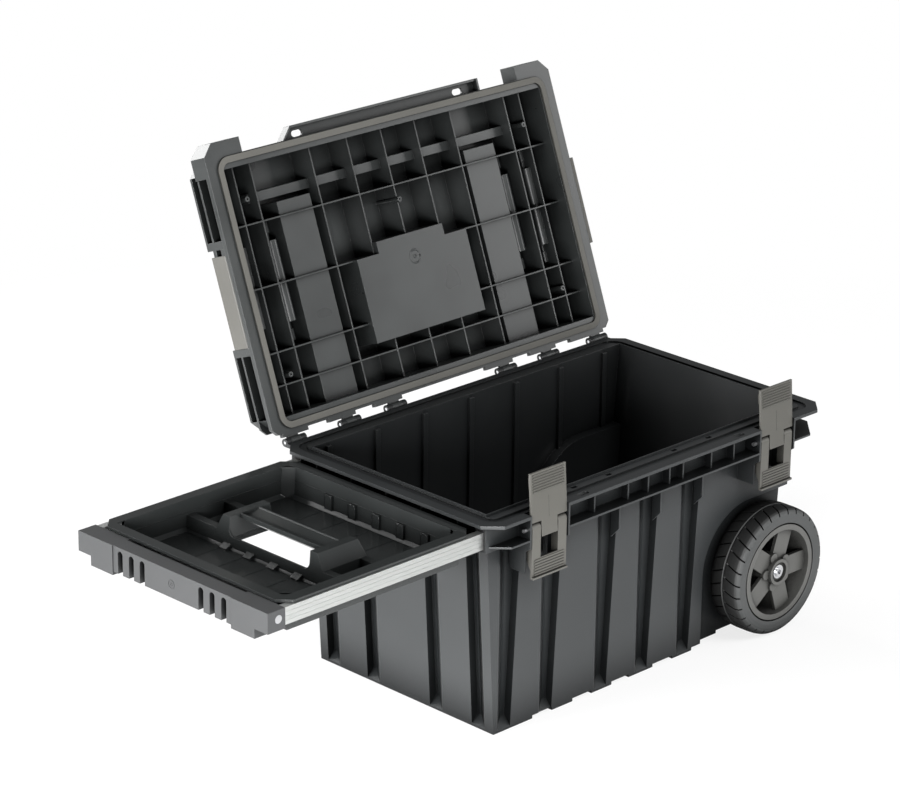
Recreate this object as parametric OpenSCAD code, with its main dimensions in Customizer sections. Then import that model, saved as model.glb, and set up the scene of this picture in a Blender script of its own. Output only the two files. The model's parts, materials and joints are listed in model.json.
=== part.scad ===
// Rolling jobsite storage box, shown open: lid up, pull handle out, carry tray resting on its rails.
// The origin is on the floor under the centre of the tub. X runs along the box, with the wheels at +X
// and the pull handle at -X. The latches are on the -Y side and the lid hinge is on the +Y side.

/* [Tub] */
// Height of the rim above the floor
box_h = 285; // [270:1:340]
// Length over the end walls at the rim
tub_l = 552; // [530:1:580]
// Depth over the long walls
tub_d = 301; // [290:1:312]
// How far the rim stands out past each end wall
rim_end_out = 24; // [22:0.5:32]
// How far the rim stands out past the front wall
rim_front_out = 34.5; // [33.5:0.5:44]
// How far the rim stands out past the rear wall
rim_rear_out = 30.5; // [29.5:0.5:32]
// How far each end wall leans in towards the floor
end_draft = 18; // [8:1:24]
// Thickness of the moulded walls
wall = 3; // [2:0.5:4]
// Thickness of the floor
floor_t = 3; // [2:0.5:5]
// Height of the moulded feet
foot_h = 4; // [3:0.5:6]
// Depth of the grooves pressed into the walls
groove_d = 11; // [6:1:14]
// Flat bottom width at the lower end of a groove
groove_flat = 3; // [2:0.5:8]
// Width of the soft side of a groove
groove_soft = 22; // [14:1:26]
// Distance from the rim down to the lower flange
flange_drop = 32; // [31.5:0.5:40]
// Thickness of the lower flange and the webs
web_t = 2.5; // [2:0.5:3.5]
// Thickness of the top flange
rim_t = 4; // [3.5:0.5:6]
// Bevel at each corner of the rim
rim_corner = 20; // [12:1:26]
// Width of a padlock slot
slot_w = 8; // [6:0.5:9]
// Length of a padlock slot
slot_l = 18; // [14:1:24]

/* [Seal] */
// How far the seal's centre line lies outside the end walls
seal_end_out = 5; // [3:0.5:7]
// How far the seal's centre line lies outside the long walls
seal_side_out = 15.5; // [13:0.5:16.5]
// Width of the seal
seal_w = 8; // [5:0.5:9]
// Depth of the seal channel in the tub rim
seal_groove = 2.2; // [1.5:0.1:2.5]

/* [Lid] */
// Height of the lid
lid_h = 55; // [50:1:70]
// Angle of the open lid from closed
open_angle = 110.6; // [90:0.1:116]
// Height of the hook ledge above the seal face
ledge_h = 27; // [24:0.5:27.5]
// Thickness of the lid walls
lid_wall = 3; // [2:0.5:4]
// Thickness of the lid ribs
rib_t = 2; // [1.5:0.5:3]
// How far the rib edges sit back from the seal face
rib_inset = 15; // [10:1:20]
// How far the raised plate sits back from the seal face
plate_inset = 7.5; // [5:0.5:12]

/* [Hinge] */
// How far the hinge axis lies behind the rim
hinge_out = 4; // [3.5:0.5:7]
// Radius of the hinge barrels
barrel_r = 5; // [4.5:0.5:6]
// Radius of the hinge pins
hinge_pin_r = 2; // [1.5:0.25:2.5]
// Length of a lid barrel
barrel_l = 16; // [12:1:20]
// Length of a tub barrel
lug_l = 8; // [6:1:10]

/* [Latches] */
// Distance from the end wall to the middle of each latch
latch_in = 72; // [70:1:76]
// Width of a latch lever
lever_w = 58; // [52:1:60]
// Distance from the rim down to the lever pivot
pivot_drop = 19; // [18:0.5:22]
// Length of a lever below its pivot
lever_l = 62; // [54:1:66]
// Thickness of the latch plates
latch_t = 2.5; // [2:0.5:3]
// Radius of the lever pivot pins
lever_pin_r = 2.5; // [2:0.25:3]
// Radius of the hook pins
hook_pin_r = 2; // [1.5:0.25:2.25]
// Height of a hook plate above its pin
hook_h = 79; // [76:0.5:84]
// Lean of the hook plates towards the lid
hook_lean = 4; // [0:0.5:4.5]

/* [Pull handle] */
// Thickness of the grip along the box
grip_t = 26; // [22:1:30]
// Thickness of the grip outside each rail
grip_cover = 1.5; // [1.2:0.1:3]
// Height of the grip
grip_h = 37; // [34:1:44]
// Height of a rail
rail_h = 21; // [16:0.5:21.5]
// Thickness of a rail
rail_t = 10; // [8:0.5:10.5]
// Wall thickness of a rail
rail_wall = 1.6; // [1:0.1:2.5]

/* [Tray] */
// Length of the tray rim along the box
tray_l = 298; // [250:1:310]
// Depth of the tray below the top of its rim
tray_h = 41; // [34:1:46]
// Width of the tray rim
tray_rim = 12; // [10:0.5:16]
// Wall thickness of the tray
tray_wall = 2.5; // [2:0.5:4]
// Width of the carry bar
bar_w = 31; // [26:1:34]
// Length of the opening below the carry bar
bar_l = 138; // [110:1:142]

/* [Wheels] */
// Height from the top of the wheels to the rim flange
wheel_drop = 117; // [112:1:135]
// Width of the wheels
wheel_w = 48; // [40:1:50]
// Distance from the end wall to the axle
wheel_set = 62.5; // [58:0.5:68]
// Height of the tyre outside the wheel disc
tyre_h = 21; // [18:1:28]
// Radius of the axle pins
axle_r = 6; // [5:0.5:7]
// Wall of the wheel bush
bush_wall = 3; // [2:0.5:4]

/* [Fits] */
// Running clearance on pins and bores
fit = 0.05; // [0.02:0.01:0.1]
// Gap between faces that only rest on each other
seat = 0.3; // [0.2:0.05:0.4]
// Gap between pieces that pass each other
pass = 1; // [0.6:0.1:1.4]

/* [Hidden] */
$fn = 48;
// Overrun of every cut
over = 1;

// Tub
half_l = tub_l / 2;
half_d = tub_d / 2;
half_rim = half_l + rim_end_out;
rim_front = half_d + rim_front_out;
rim_rear = half_d + rim_rear_out;
hinge_y = rim_rear + hinge_out;
latch_x = half_l - latch_in;
seal_l = tub_l + 2 * seal_end_out;
seal_d = tub_d + 2 * seal_side_out;
wheel_r = (box_h - wheel_drop) / 2;
wheel_x = half_l - wheel_set;
disc_r = wheel_r - tyre_h;
slot_share = 0.46667;
slot_x = half_rim * slot_share;
lean = atan(end_draft / box_h);
function end_x(z) = half_l - end_draft * (1 - z / box_h);
flange_z = box_h - flange_drop;
// Places of the sharp groove edges, as shares of half the length or half the depth
front_groove_shares = [-0.833, -0.575, -0.225, 0.043, 0.319];
end_groove_shares = [0.91, 0.44, -0.285, -0.76];
groove_steps = 6;
// Lean of the sharp side of the grooves in the long wall as they rise
groove_lean = 2.9;
groove_reach = 30;
// Height at which the sloped lower end of a groove meets the wall face
groove_low = 3;
// How far the soft side runs past the wall face before it ends
groove_blend = 0.4;
// Thin fins that carry the flange over the grooves
fin_shares = [-0.225, 0.043, 0.319];
fin_out = 14;
fin_h = 54;
fin_slope = 15;
// Narrow ribs that show inside the long walls and as grooves outside the rear wall
inner_rib_n = 3;
inner_rib_share = 0.297;
inner_rib_pitch = half_l * inner_rib_share;
inner_rib_w = 7.5;
inner_rib_d = 4;
// Start and end of each foot under the floor
foot_shares = [[-1, -0.742], [-0.61, -0.47], [-0.34, -0.2], [-0.08, 0.09], [0.23, 0.37], [0.47, 0.61],
    [0.76, 0.9]];
// Wheel arches
arch_gap = 10;
arch_shift = 18.5;
arch_in = 13.5;
arch_wall_y = half_d - arch_in;
arch_r = wheel_r - 2 * seat - pass * 0.4;
arch_x = wheel_x - arch_shift;
arch_z = wheel_r + arch_gap;
// Rail tunnels along the long walls
tunnel_t = 2;
tunnel_gap = 2.5;
rail_y0 = half_d + pass;
rail_y1 = rail_y0 + rail_t;
tunnel_y = rail_y1 + tunnel_gap;
rail_drop = 12;
rail_z1 = box_h - rail_drop;
rail_z0 = rail_z1 - rail_h;
rail_zc = (rail_z0 + rail_z1) / 2;
tunnel_floor = tunnel_t;
tunnel_z0 = rail_z0 - pass * 2 - tunnel_floor;
tunnel_share = 0.598;
tunnel_x1 = half_l * tunnel_share;
// Webs in the open rim channel, as shares of half the rim length
web_shares = [-0.403, -0.088, 0.121, 0.433];
rear_web_shares = [-0.76, -0.45, -0.13, 0.13, 0.45, 0.76];
end_web_shares = [-0.8, -0.4, 0, 0.4, 0.8];
web_back = 8;
// Latch recess
recess_half = lever_w / 2 + pass * 2;
recess_depth = 13.5;
recess_low = 55;
// Rim details
seal_r = 14;
lip_w = 1.6;
lip_h = 2.5;
slot_in = 9;
slot_y = rim_front - slot_in;
drain_l = 9;
drain_w = 5;
drain_d = 2;
drain_shares = [-0.46, -0.26, 0.13, 0.34];

// Lid, given closed
lid_z = box_h + seat;
lid_end_in = 6;
lid_side_in = 11;
lid_edge_out = 5;
lid_rear_out = 8;
lid_half_l = seal_l / 2 - lid_end_in;
lid_half_d = seal_d / 2 - lid_side_in;
lid_edge = seal_d / 2 + lid_edge_out;
lid_rear = seal_d / 2 + lid_rear_out;
lid_rear_corner = 8;
// Leaves between the flange and the hinge, start and end of each
leaf_shares = [[-0.953, -0.813], [-0.697, -0.547], [-0.437, -0.28], [0.22, 0.383], [0.49, 0.65],
    [0.743, 0.953]];
leaf_gap = 1.5;
lid_flange_t = 6;
lid_groove = 4;
ledge_t = 3;
ledge_z = lid_z + ledge_h;
front_gap = 2;
hook_w = 60;
front_half = latch_x - hook_w / 2 - front_gap;
front_slant = 16;
front_out = 2;
front_y = rim_front + front_out;
front_z = 10;
front_t = 3;
front_lip = 7;
front_reach = front_y - lid_edge;
ledge_in = 2;
bumper_l = 60;
bumper_x = half_rim - bumper_l;
bumper_y = rim_front + front_out + lid_wall;
bumper_in = 22;
bumper_bevel = 15;
rib_z = lid_z + rib_inset;
lid_top = lid_z + lid_h;
lid_rib_shares = [-0.909, -0.807, -0.447, -0.215, 0, 0.215, 0.447, 0.807, 0.909];
lid_row_shares = [-0.535, -0.026, 0.497, 0.761];
knuckle_shares = [-0.9, -0.593, -0.33, 0.33, 0.593, 0.9];
channel_x0 = lid_half_l * 0.491;
channel_x1 = lid_half_l * 0.691;
channel_inset = 20;
plate_y0 = -lid_half_d * 0.026;
plate_y1 = lid_half_d * 0.671;
plate_half = lid_half_l * 0.349;
plate_step_half = lid_half_l * 0.211;
plate_step = 15;
capsule_shares = [-0.905, -0.742, 0.742, 0.905];
capsule_r = 8;
capsule_inset = 25;
capsule_y0 = -lid_half_d * 0.361;
capsule_y1 = lid_half_d * 0.303;
boss_r = 3.5;
boss_hole_r = 1.2;
boss_inset = 10;
strap_y = -lid_half_d * 0.723;
boss_shares = [[-0.88, -0.729], [0.88, -0.729], [-0.88, 0.697], [0.88, 0.697], [0, -0.406]];
strap_w = 12;
strap_inset = 30;
end_block_y0 = lid_half_d * 0.4;
end_block_y1 = lid_half_d * 1.052;
end_block_t = 3;
end_block_in = 2;
end_block_x = half_rim - end_block_in;
end_block_bevel = 10;
lid_web_shares = [-0.9, -0.36, -0.12, 0.12, 0.36, 0.9];
// Stack clips on the lid ends
clip_y0 = -lid_half_d * 0.348;
clip_y1 = lid_half_d * 0.4;
clip_t = 3;
clip_h = 24;
clip_pin_r = 1.5;
clip_ear = 8;
clip_in = 5;
clip_x = half_rim - clip_in;
clip_z = lid_z + lid_flange_t + clip_in;
clip_knuckle_r = 3.5;
// How far the right clip stands swung out
clip_swing = 75;

// Latches
lever_in = 7;
lever_y = rim_front - lever_in;
lever_z = box_h - pivot_drop;
lever_head_r = 6;
pin_step = 10;
lever_face = rim_front - pass;
hook_in = 1;
hook_y = lever_y - hook_in;
hook_z = lever_z - pin_step;
cheek_t = 4;
cheek_d = 11;
gap_half = 14.5;
gap_l = 37;
ridge_n = 6;
ridge_h = 0.8;
ridge_step = 3.6;
lip_out = 3;
tongue_half = 13.4;
tongue_l = 18;
hook_face = 7.5;
hook_reach = 1.5;
hook_tip = 20.5;
hook_tip_t = 3.5;
hook_arm_t = 8;
stub_in = 5;
stub_out = 7;

// Pull handle
grip_z1 = rail_z1 + 0.8 * pass;
grip_z0 = grip_z1 - grip_h;
tray_gap = 2;
tray_x1 = -(half_rim + tray_gap);
tray_x0 = tray_x1 - tray_l;
grip_in = -tray_x0 + tray_gap;
grip_x = grip_in + grip_t;
grip_l = 2 * (rail_y1 + grip_cover);
grip_mid_half = grip_l * 0.313;
grip_block_half = grip_l * 0.4325;
grip_end_h = 25;
grip_mid_h = 33;
grip_setback = 3.5;
grip_socket = 20;
grip_slot_shares = [-0.547, -0.427, -0.31, 0.31, 0.427, 0.547];
grip_slot_w = 8.5;
grip_slot_h = 28.5;
grip_slot_d = grip_t * 0.75;
screw_r = 2.5;
screw_head_r = 5;
screw_in = 10;
stop_l = 14;
stop_t = 0.6;
guide_l = 60;
guide_x0 = -half_rim + web_back;
rail_x0 = -grip_in - grip_socket;
rail_x1 = guide_x0 + guide_l + seat + stop_l - pass;
groove_line = 0.5;

// Tray
tray_rim_t = 3.5;
tray_z1 = rail_z1 + seat + tray_rim_t;
tray_z0 = tray_z1 - tray_h;
tray_cx = (tray_x0 + tray_x1) / 2;
tray_half = rail_y1 - pass * 2.5;
tray_side_in = 5;
tray_basin = rail_y0 - tray_side_in;
tray_draft = 3;
tray_corner = 15;
spine_x = tray_cx + 4.5;
spine_half = 31.5;
spine_draft = 3.5;
spine_draft_in = 11;
spine_top = 15;
tower_t = 12;
tower_slope = 10;
hollow_h = 14;
cell_h = 21.5;
cell_wall = 11;
bar_half = bar_l / 2;
bar_t = 9;
bar_edge = 2;
bar_trough = 4;
bar_corner = 9;
divider_shares = [-0.68, -0.4, -0.12, 0.16, 0.44];
divider_w = 12;
divider_t = 1.6;
divider_h = 24;
tab_h = 6;
tab_l = 7.5;

// Wheels
wheel_lift = 0.4;
wheel_z = wheel_r + wheel_lift;
wheel_gap = 7;
wheel_in = arch_wall_y + wheel_gap;
wheel_out = wheel_in + wheel_w;
hub_r = 17;
rim_wall = 4;
spoke_n = 5;
spoke_w = 26;
spoke_t = 5;
spoke_back = 9;
rim_back = 3;
hub_back = 1.5;
lug_r = 3.2;
lug_ring = 23;
shoulder = 6;
shoulder_in = 2.5;
tyre_lip = 2;
arch_boss_r = 15;
washer_t = wheel_in + hub_back - arch_wall_y - wall - 2 * seat;
nut_t = 7;
nut_r = 11;
axle_end = 2;
axle_in = arch_wall_y - 2 * wall - nut_t - axle_end;
socket_r = 3;
socket_d = 5;
ring_r = 9;
ring_t = 1.5;

// Shared shapes
module box(x0, x1, y0, y1, z0, z1)
    translate([x0, y0, z0]) cube([x1 - x0, y1 - y0, z1 - z0]);

// Outline in x,z drawn out from y0 to y1
module along_y(y0, y1)
    translate([0, y1, 0]) rotate([90, 0, 0]) linear_extrude(y1 - y0) children();

// Outline in y,z drawn out from x0 to x1
module along_x(x0, x1)
    translate([x0, 0, 0]) rotate([90, 0, 90]) linear_extrude(x1 - x0) children();

module rod_x(x0, x1, y, z, r)
    translate([x0, y, z]) rotate([0, 90, 0]) cylinder(r = r, h = x1 - x0);

module rod_y(y0, y1, x, z, r)
    translate([x, y1, z]) rotate([90, 0, 0]) cylinder(r = r, h = y1 - y0);

module both_sides() {
    children();
    mirror([0, 1, 0]) children();
}

module both_ends() {
    children();
    mirror([1, 0, 0]) children();
}

module both_latches() {
    for (s = [-1, 1]) translate([s * latch_x, 0, 0]) children();
}

// Rectangle with round corners
module round_rect(l, w, r) {
    square([l - 2 * r, w], center = true);
    square([l, w - 2 * r], center = true);
    for (x = [-1, 1]) for (y = [-1, 1])
        translate([x * (l / 2 - r), y * (w / 2 - r)]) circle(r);
}

// Rectangle with its corners cut off by c
module bevel_rect(x0, x1, y0, y1, c)
    polygon([[x0 + c, y0], [x1 - c, y0], [x1, y0 + c], [x1, y1 - c],
        [x1 - c, y1], [x0 + c, y1], [x0, y1 - c], [x0, y0 + c]]);

module obround(l, w) {
    square([l - w, w], center = true);
    for (s = [-1, 1]) translate([s * (l - w) / 2, 0]) circle(w / 2);
}

// Body of the tub, or its hollow when set in by g
module tub_form(g, z0, z1)
    along_y(-half_d + g, half_d - g)
        polygon([[-end_x(z0) + g, z0], [end_x(z0) - g, z0], [end_x(z1) - g, z1], [-end_x(z1) + g, z1]]);

// One groove: a sharp side at x = reach and a soft side that fades into the wall at -x
module groove_outline(g, reach)
    polygon(concat([[g + reach, -over], [g + reach, groove_d + g]],
        [for (i = [0:groove_steps]) let (t = i / groove_steps)
            [-groove_flat - groove_soft * t,
             g - groove_blend + (groove_d + groove_blend) * (1 + cos(180 * t)) / 2]],
        [[-groove_flat - groove_soft - over, -over]]));

module groove(g)
    intersection() {
        translate([0, 0, -over]) linear_extrude(flange_z + g + 2 * over) groove_outline(g, groove_reach);
        rotate([0, groove_lean, 0])
            box(-2 * groove_reach, g, -2 * over, groove_d + wall + over, -2 * over, box_h);
    }

module end_groove(g)
    rotate([0, -lean, 0]) mirror([1, -1, 0]) translate([0, 0, -over])
        linear_extrude((flange_z + g + over) / cos(lean)) groove_outline(g, 0);

module front_grooves(g)
    for (s = front_groove_shares) translate([s * half_l, -half_d, 0]) groove(g);

module end_grooves(g)
    for (s = end_groove_shares) translate([-end_x(0), s * half_d, 0]) end_groove(g);

// Grooves as they are cut, with sloped lower ends
module cut_grooves() {
    top = box_h + over;
    intersection() {
        front_grooves(0);
        along_x(-half_l, half_l)
            polygon([[-half_d - 2 * over, groove_low - 2 * over],
                [-half_d + 2 * groove_d, groove_low + 2 * groove_d],
                [-half_d + 2 * groove_d, top], [-half_d - 2 * over, top]]);
    }
    intersection() {
        end_grooves(0);
        along_y(-half_d, half_d)
            polygon([[-half_l, groove_low - half_l + end_x(0)],
                [-half_l + end_draft + 2 * groove_d, groove_low + 2 * groove_d],
                [-half_l + end_draft + 2 * groove_d, top], [-half_l, top]]);
    }
    for (i = [-inner_rib_n:inner_rib_n])
        box(i * inner_rib_pitch - inner_rib_w + wall, i * inner_rib_pitch, half_d - inner_rib_d,
            half_d + over, groove_low + inner_rib_d, flange_z + over);
}

module inner_ribs()
    both_sides() for (i = [-inner_rib_n:inner_rib_n])
        box(i * inner_rib_pitch - inner_rib_w, i * inner_rib_pitch, half_d - wall - inner_rib_d, half_d,
            foot_h, box_h - rim_t / 2);

// Space round a wheel, grown by g
module arch(g)
    along_y(arch_wall_y - g, half_d + over) {
        translate([arch_x, arch_z]) circle(arch_r + g);
        translate([arch_x - arch_r - g, -over]) square([arch_r + g + half_l, arch_z + over]);
        translate([arch_x, -over]) square([half_l, arch_z + arch_r + g + over]);
    }

module tub_hollow()
    difference() {
        tub_form(wall, foot_h + floor_t, box_h + lip_h + over);
        front_grooves(wall);
        end_grooves(wall);
        inner_ribs();
        both_sides() arch(wall);
        both_sides() rod_y(arch_wall_y - wall * 2, half_d, wheel_x, wheel_z, arch_boss_r);
    }

module seal_loop(w)
    difference() {
        round_rect(seal_l + w, seal_d + w, seal_r + w / 2);
        round_rect(seal_l - w, seal_d - w, seal_r - w / 2);
    }

module rim_plate(c)
    bevel_rect(-half_rim, half_rim, -rim_front, rim_rear, c);

// Fin that runs from the lower flange down over the edge of a groove
module fin(x)
    along_x(x, x + web_t)
        polygon([[-half_d + over, flange_z], [-half_d - fin_out, flange_z],
            [-half_d - fin_out, flange_z - fin_h + fin_slope], [-half_d, flange_z - fin_h],
            [-half_d + over, flange_z - fin_h]]);

// Upright plates on each side of a latch
module latch_cheek(x)
    along_x(x, x + web_t)
        polygon([[-half_d + over, box_h - over], [-rim_front, box_h - over],
            [-rim_front, lever_z - recess_low * 0.4], [-rim_front + web_back, lever_z - recess_low * 0.5],
            [-rim_front + web_back, lever_z - recess_low], [-half_d + over, lever_z - recess_low]]);

module rim_body() {
    translate([0, 0, box_h - rim_t]) linear_extrude(rim_t) rim_plate(rim_corner);
    translate([0, 0, flange_z]) linear_extrude(web_t) rim_plate(rim_corner * 1.6);
    opening_lip();
    // walls of the rail tunnels
    both_sides() box(-half_rim + web_back, tunnel_x1, -tunnel_y - tunnel_t, -half_d + over,
        tunnel_z0, box_h - over);
    for (s = fin_shares) fin(s * half_l);
    for (s = fin_shares)
        box(s * half_l, s * half_l + web_t, -rim_front + web_back, -half_d, flange_z, box_h - over);
    for (s = web_shares)
        box(s * half_rim, s * half_rim + web_t, -rim_front + web_back, -half_d, flange_z, box_h - over);
    for (s = rear_web_shares)
        box(s * half_rim, s * half_rim + web_t, half_d, rim_rear - web_back, flange_z, box_h - over);
    both_ends() for (s = end_web_shares)
        box(half_l - over, half_rim - web_back, s * half_d, s * half_d + web_t, flange_z, box_h - over);
    for (s = [-1, 1]) {
        latch_cheek(s * latch_x - recess_half - web_t);
        latch_cheek(s * latch_x + recess_half);
    }
}

// Raised lip round the opening
module opening_lip()
    translate([0, 0, box_h - over]) linear_extrude(lip_h + over)
        square([tub_l - 2 * wall + 2 * lip_w, tub_d - 2 * wall + 2 * lip_w], center = true);

module feet()
    for (s = foot_shares)
        box(s[0] * end_x(0), s[1] * end_x(0), -half_d, half_d, 0, foot_h + over);

module tub_lugs()
    for (s = knuckle_shares) for (e = [-1, 1]) {
        x = s * half_rim + e * (barrel_l / 2 + lug_l / 2 + seat) - lug_l / 2;
        rod_x(x, x + lug_l, hinge_y, box_h, barrel_r);
        box(x, x + lug_l, rim_rear - web_back, hinge_y, box_h - barrel_r, box_h);
    }

module tub_cuts() {
    tub_hollow();
    both_sides() arch(0);
    cut_grooves();
    // seal channel
    translate([0, 0, box_h - seal_groove]) linear_extrude(seal_groove + over) seal_loop(seal_w + 2 * pass);
    // rail tunnels
    both_sides() box(-half_rim - over, tunnel_x1 - tunnel_t, -tunnel_y, -rail_y0 + pass,
        tunnel_z0 + tunnel_floor, box_h - rim_t - pass);
    // latch recesses
    both_latches() box(-recess_half, recess_half, -rim_front - over, -rim_front + recess_depth,
        flange_z - over, box_h + over);
    both_latches()
        rod_x(-recess_half - stub_out, recess_half + stub_out, -lever_y, lever_z, lever_pin_r + fit);
    // padlock slots
    for (s = [-1, 1]) translate([s * slot_x, -slot_y, box_h - rim_t - over])
        linear_extrude(rim_t + 2 * over) obround(slot_l, slot_w);
    // drain notches beside the lip
    for (s = drain_shares)
        box(s * half_rim, s * half_rim + drain_l, -seal_d / 2 + seal_w, -seal_d / 2 + seal_w + drain_w,
            box_h - drain_d, box_h + over);
    // room for the lid barrels
    for (s = knuckle_shares)
        rod_x(s * half_rim - barrel_l / 2 - seat, s * half_rim + barrel_l / 2 + seat, hinge_y, box_h,
            barrel_r + pass);
    rod_x(-half_rim, half_rim, hinge_y, box_h, hinge_pin_r + fit);
    // axle holes
    both_sides() rod_y(arch_wall_y - wall * 3, arch_wall_y + wall * 2, wheel_x, wheel_z, axle_r + fit);
}

module tub() color([0.24, 0.25, 0.26]) {
    difference() {
        union() {
            tub_form(0, foot_h, box_h);
            feet();
            rim_body();
            tub_lugs();
            both_sides() rod_y(arch_wall_y - wall, arch_wall_y + wall, wheel_x, wheel_z, arch_boss_r);
        }
        tub_cuts();
    }
}

// Places a piece of the closed lid where the open lid holds it
module lid_open()
    translate([0, hinge_y, box_h]) rotate([-open_angle, 0, 0]) translate([0, -hinge_y, -box_h]) children();

// Outline of a lid flange set in by g, with the rear corners less bevelled
module lid_plate(g)
    polygon([[-half_rim + g + rim_corner, -lid_edge + g], [half_rim - g - rim_corner, -lid_edge + g],
        [half_rim - g, -lid_edge + g + rim_corner], [half_rim - g, lid_rear - g - lid_rear_corner],
        [half_rim - g - lid_rear_corner, lid_rear - g], [-half_rim + g + lid_rear_corner, lid_rear - g],
        [-half_rim + g, lid_rear - g - lid_rear_corner], [-half_rim + g, -lid_edge + g + rim_corner]]);

// Bumper on the front right corner, set in by g
module bumper(g, z0, z1)
    translate([0, 0, z0]) linear_extrude(z1 - z0)
        polygon([[bumper_x + g, -lid_edge + bumper_in], [bumper_x + g, -bumper_y + g],
            [half_rim - bumper_bevel, -bumper_y + g], [half_rim - g, -bumper_y + bumper_bevel],
            [half_rim - g, -lid_edge + bumper_in]]);

module bumper_pocket()
    intersection() {
        bumper(lid_wall, lid_z + lid_flange_t, ledge_z + over);
        box(0, half_rim, -bumper_y, -lid_edge + lid_wall, lid_z, ledge_z + over);
    }

// Solid block that shows inside the lid as a raised pad and outside as a pocket
module pad(x0, x1, y0, y1, inset)
    box(x0, x1, y0, y1, lid_z + inset, lid_top);

module pad_hollow(x0, x1, y0, y1, inset)
    box(x0 + lid_wall, x1 - lid_wall, y0 + lid_wall, y1 - lid_wall, lid_z + inset + lid_wall,
        lid_top + over);

module lid_pads() {
    pad(-plate_half, plate_half, plate_y0, plate_y1, plate_inset);
    pad(-plate_step_half, plate_step_half, plate_y0 - plate_step, plate_y0 + lid_wall, plate_inset);
    both_ends() pad(channel_x0, channel_x1, strap_y + strap_w, lid_half_d, channel_inset);
}

module lid_pad_hollows() {
    pad_hollow(-plate_half, plate_half, plate_y0, plate_y1, plate_inset);
    pad_hollow(-plate_step_half, plate_step_half, plate_y0 - plate_step, plate_y0 + 3 * lid_wall,
        plate_inset);
    both_ends()
        pad_hollow(channel_x0, channel_x1, strap_y + strap_w, lid_half_d + 2 * lid_wall, channel_inset);
}

// One capsule shape on the underside of the lid, with a neck at each end
module capsule(x) {
    z = lid_z + capsule_inset + capsule_r;
    rod_y(capsule_y0, capsule_y1, x, z, capsule_r);
    box(x - capsule_r, x + capsule_r, capsule_y0, capsule_y1, z, lid_top - over);
    rod_y(capsule_y0 - 2 * capsule_r, capsule_y1 + 2 * capsule_r, x, z + capsule_r / 2, capsule_r / 3);
    for (y = [capsule_y0 - 3 * capsule_r, capsule_y1 + 1.2 * capsule_r])
        rod_y(y, y + 1.8 * capsule_r, x, z + capsule_r / 2, capsule_r / 1.8);
}

module lid_inside() {
    for (s = lid_rib_shares)
        box(s * lid_half_l - rib_t / 2, s * lid_half_l + rib_t / 2, -lid_half_d, lid_half_d, rib_z,
            lid_top - over);
    for (s = lid_row_shares)
        box(-lid_half_l, lid_half_l, s * lid_half_d, s * lid_half_d + rib_t, rib_z, lid_top - over);
    box(-lid_half_l * 0.82, lid_half_l * 0.82, strap_y - strap_w / 2, strap_y + strap_w / 2,
        lid_z + strap_inset, lid_top - over);
    for (s = capsule_shares) capsule(s * lid_half_l);
    for (p = boss_shares) translate([p[0] * lid_half_l, p[1] * lid_half_d, lid_z + boss_inset])
        cylinder(r = boss_r, h = lid_h - boss_inset - over);
}

module end_block()
    difference() {
        translate([0, 0, lid_z + over]) linear_extrude(lid_h - rib_inset - over)
            polygon([[lid_half_l, end_block_y0], [end_block_x, end_block_y0],
                [end_block_x, end_block_y1 - end_block_bevel],
                [end_block_x - end_block_bevel, end_block_y1], [lid_half_l, end_block_y1]]);
        box(lid_half_l + 2 * lid_wall, end_block_x + over, end_block_y0 + end_block_bevel,
            end_block_y1 - end_block_bevel, lid_z + lid_flange_t + end_block_t,
            lid_top - rib_inset - end_block_t);
    }

module lid_tabs()
    for (s = knuckle_shares) {
        x = s * half_rim;
        rod_x(x - barrel_l / 2, x + barrel_l / 2, hinge_y, box_h, barrel_r);
        box(x - barrel_l / 2, x + barrel_l / 2, lid_rear - over, hinge_y, lid_z, box_h + barrel_r);
    }

module clip_ears()
    both_ends() for (y = [clip_y0 - clip_ear - seat, clip_y1 + seat])
        box(lid_half_l, clip_x + clip_knuckle_r, y, y + clip_ear, lid_z + lid_flange_t - over,
            clip_z + clip_knuckle_r);

// Front flange with its lip and ends, the left end slants
module front_flange() {
    y1 = -lid_half_d;
    translate([0, 0, lid_z + front_z]) linear_extrude(front_t) front_outline(-front_y, y1);
    translate([0, 0, lid_z + front_z - front_lip]) linear_extrude(front_lip + over)
        front_outline(-front_y, -front_y + front_t);
    translate([0, 0, lid_z + over]) linear_extrude(front_z) difference() {
        front_outline(-front_y, y1);
        translate([front_t, 0]) front_outline(-front_y - over, -lid_half_d + over);
        mirror([1, 0]) square([front_half - 2 * front_slant, rim_front]);
    }
    box(front_half - front_t, front_half, -front_y, y1, lid_z + over, lid_z + front_z + over);
}

module front_outline(y0, y1)
    polygon([[-front_half - front_slant * (y0 + lid_edge) / front_reach, y0], [front_half, y0],
        [front_half, y1], [-front_half - front_slant * (y1 + lid_edge) / front_reach, y1]]);

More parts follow.
